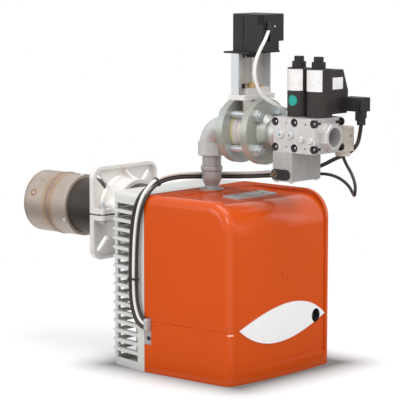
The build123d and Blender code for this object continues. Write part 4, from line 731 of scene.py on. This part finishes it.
# cover: a black liner that paints the shade on the wall of the reset button's hole
linerTrim = {"place": (91.0, 0, 93.5),
             "profile": [(12.3, -196.4), (12.3, -190.5), (9.2, -190.5), (9.2, -191.5), (11.6, -191.5),
                         (11.6, -196.4), (12.3, -196.4)]}
liner = bmesh.new()
turnForm(liner, [(r, -h) for r, h in linerTrim["profile"]], linerTrim["place"], (0, -1, 0), 48)
meshPiece("resetHoleShadeLiner", liner, finish("blackPlastic"))

# slatted housing: every slat runs on to a square tip past its corner post
tipTrim = {"count": 16, "topZ": 278.5, "lowZ": 28.5, "thick": 4.6, "rear": 94.2, "half": 124.9,
           "outline": [(-14.0, -2.0), (-14.0, 0.0), (-1.0, 0.0), (0.0, -1.0), (0.0, -16.0), (-2.0, -16.0)]}
tips = bmesh.new()
for k in range(tipTrim["count"]):
    z = tipTrim["topZ"] + (tipTrim["lowZ"] - tipTrim["topZ"]) * k / (tipTrim["count"] - 1)
    for hand in (-1, 1):
        outline = [(hand * (tipTrim["half"] + a), tipTrim["rear"] + b) for a, b in tipTrim["outline"]]
        slabForm(tips, outline[::hand], (0, 0, z - tipTrim["thick"] / 2),
                 (1, 0, 0), (0, 1, 0), tipTrim["thick"])
meshPiece("slatTips", tips, finish("greyEnamel"))

# coil plug: a dark sheet that paints the shade of a recess beside its front edge
plugTrim = {"recess": [(34.0, -327.4, 468.5), 5.6, 33.0]}
recess = bmesh.new()
origin, width, height = plugTrim["recess"]
slabForm(recess, roundedOutline(width, height, 1.2), origin, (0, -1, 0), (0, 0, 1), 0.12)
meshPiece("plugRecessShade", recess, finish("paintedShadeAndFlagBlack"))

# gas pressure switch: a dark disc that paints the shade in its cover's small hole
switchTrim = {"place": (66.5, -291.0, 421.6), "profile": [(1.7, 0.02), (1.5, 0.10), (0, 0.10)]}
switchHoleShade = bmesh.new()
turnForm(switchHoleShade, switchTrim["profile"], switchTrim["place"], (0, -1, 0), 16)
meshPiece("switchHoleShade", switchHoleShade, finish("paintedShadeAndFlagBlack"))
print("detail pieces made")

# floor and light
stageLook = {"floorRadius": 12.0, "floorTone": (0.93, 0.93, 0.93), "plain": 0.55, "fadeFrom": 0.35,
             "fadeOver": 0.8,
             "skyForSurfaces": 0.50, "footCentre": (0.012, -0.060), "footHalf": (0.142, 0.148),
             "shadeReach": 0.11, "shadeDepth": 0.85, "shadeTone": (0.10, 0.09, 0.085)}
lamps = {
    "key": {"place": (-2.6, -3.2, 3.0), "size": (2.2, 2.2), "power": 71},
    "side": {"place": (-3.6, 1.4, 1.6), "size": (2.0, 2.4), "power": 36},
    "top": {"place": (0.2, -0.5, 3.4), "size": (2.6, 2.6), "power": 82},
    "right": {"place": (2.6, -2.6, 1.6), "size": (1.6, 2.2), "power": 16},
}
# dark cards that only reflections show: two on the floor, one behind, a narrow upright one
flags = {
    "frontFloorFlag": {"place": (1.02, -1.157, 0.004), "size": (2.36, 1.89), "facing": (1.02, -1.157, 1.0),
                       "tone": "paintedShadeAndFlagBlack"},
    "sideFloorFlag": {"place": (-1.13, 0.77, 0.004), "size": (1.94, 2.3), "facing": (-1.13, 0.77, 1.0),
                      "tone": "paintedShadeAndFlagBlack"},
    "backFlag": {"place": (1.6, 1.5, 0.55), "size": (2.4, 1.1), "facing": (0.0, 0.0, 0.3),
                 "tone": "greyCard"},
    "frontFlag": {"place": (0.72, -0.95, 0.62), "size": (0.34, 0.9), "facing": (0.0, -0.15, 0.45),
                  "tone": "paintedShadeAndFlagBlack"},
}


def makeFloor(look):
    mesh = bpy.data.meshes.new("floor")
    form = bmesh.new()
    bmesh.ops.create_circle(form, cap_ends=True, segments=96, radius=look["floorRadius"])
    form.to_mesh(mesh)
    form.free()
    floor = link(bpy.data.objects.new("floor", mesh))
    maker = Maker("floorPaper")
    path = maker.node("ShaderNodeLightPath")
    seen = (maker.field(path, "Is Camera Ray") + maker.field(path, "Is Glossy Ray")
            + maker.field(path, "Is Transmission Ray")).clamped()
    span = maker.node("ShaderNodeVectorMath", {"operation": "LENGTH"}, {0: maker.place()})
    reach = maker.field(span, "Value")
    share = seen * (look["plain"] + (1 - look["plain"]) * reach.above(look["fadeFrom"], look["fadeOver"]))
    # soft contact shade round the burner's foot
    gaps = [(abs(maker.axis(name) - centre) - half).combine("MAXIMUM", 0.0)
            for name, centre, half in zip("XY", look["footCentre"], look["footHalf"])]
    off = (gaps[0] * gaps[0] + gaps[1] * gaps[1]).combine("POWER", 0.5)
    near = 1 - off.above(0, look["shadeReach"])
    shade = near * near * look["shadeDepth"]
    paper = maker.blend(shade, look["floorTone"], look["shadeTone"])
    matt = maker.node("ShaderNodeBsdfDiffuse", None, {"Color": paper})
    glow = maker.blend(shade, (1, 1, 1), look["shadeTone"])
    white = maker.node("ShaderNodeEmission", None, {"Color": glow})
    mix = maker.node("ShaderNodeMixShader", None, {0: share, 1: maker.field(matt), 2: maker.field(white)})
    maker.tree.links.new(mix.outputs[0], maker.output.inputs[0])
    paint(floor, maker.material)


def makeWorld(look):
    world = bpy.data.worlds.new("studio")
    bpy.context.scene.world = world
    world.use_nodes = True
    tree = world.node_tree
    tree.nodes.clear()
    output = tree.nodes.new("ShaderNodeOutputWorld")
    path = tree.nodes.new("ShaderNodeLightPath")
    glow = tree.nodes.new("ShaderNodeBackground")
    glow.inputs[0].default_value = (1, 1, 1, 1)
    seen = tree.nodes.new("ShaderNodeMath")
    seen.operation = "MAXIMUM"
    both = tree.nodes.new("ShaderNodeMath")
    both.operation = "MAXIMUM"
    strength = tree.nodes.new("ShaderNodeMapRange")
    strength.inputs["To Min"].default_value = look["skyForSurfaces"]
    strength.inputs["To Max"].default_value = 1.0
    tree.links.new(path.outputs["Is Camera Ray"], seen.inputs[0])
    tree.links.new(path.outputs["Is Glossy Ray"], seen.inputs[1])
    tree.links.new(seen.outputs[0], both.inputs[0])
    tree.links.new(path.outputs["Is Transmission Ray"], both.inputs[1])
    tree.links.new(both.outputs[0], strength.inputs["Value"])
    tree.links.new(strength.outputs[0], glow.inputs["Strength"])
    tree.links.new(glow.outputs[0], output.inputs[0])


def makeLamps(setups):
    aim = Vector((0, 0, 0.3))
    for name, setup in setups.items():
        data = bpy.data.lights.new(name, "AREA")
        data.shape = "RECTANGLE"
        data.size, data.size_y = setup["size"]
        data.energy = setup["power"]
        lamp = link(bpy.data.objects.new(name, data))
        lamp.location = setup["place"]
        lamp.rotation_euler = (aim - lamp.location).to_track_quat("-Z", "Y").to_euler()


def makeFlag(name, setup):
    form = bmesh.new()
    wide, high = setup["size"]
    slabForm(form, roundedOutline(wide, high, 0.1), (0, 0, 0), (1, 0, 0), (0, 1, 0), 0.01)
    mesh = bpy.data.meshes.new(name)
    form.to_mesh(mesh)
    form.free()
    flag = paint(link(bpy.data.objects.new(name, mesh)), finish(setup["tone"]))
    flag.location = setup["place"]
    heading = Vector(setup["facing"]) - Vector(setup["place"])
    flag.rotation_euler = heading.to_track_quat("Z", "Y").to_euler()
    for ray in ("camera", "diffuse", "shadow", "transmission"):
        setattr(flag, "visible_" + ray, False)


makeFloor(stageLook)
for name, setup in flags.items():
    makeFlag(name, setup)
makeWorld(stageLook)
makeLamps(lamps)
bpy.context.scene.view_settings.view_transform = "Standard"
print("stage set")
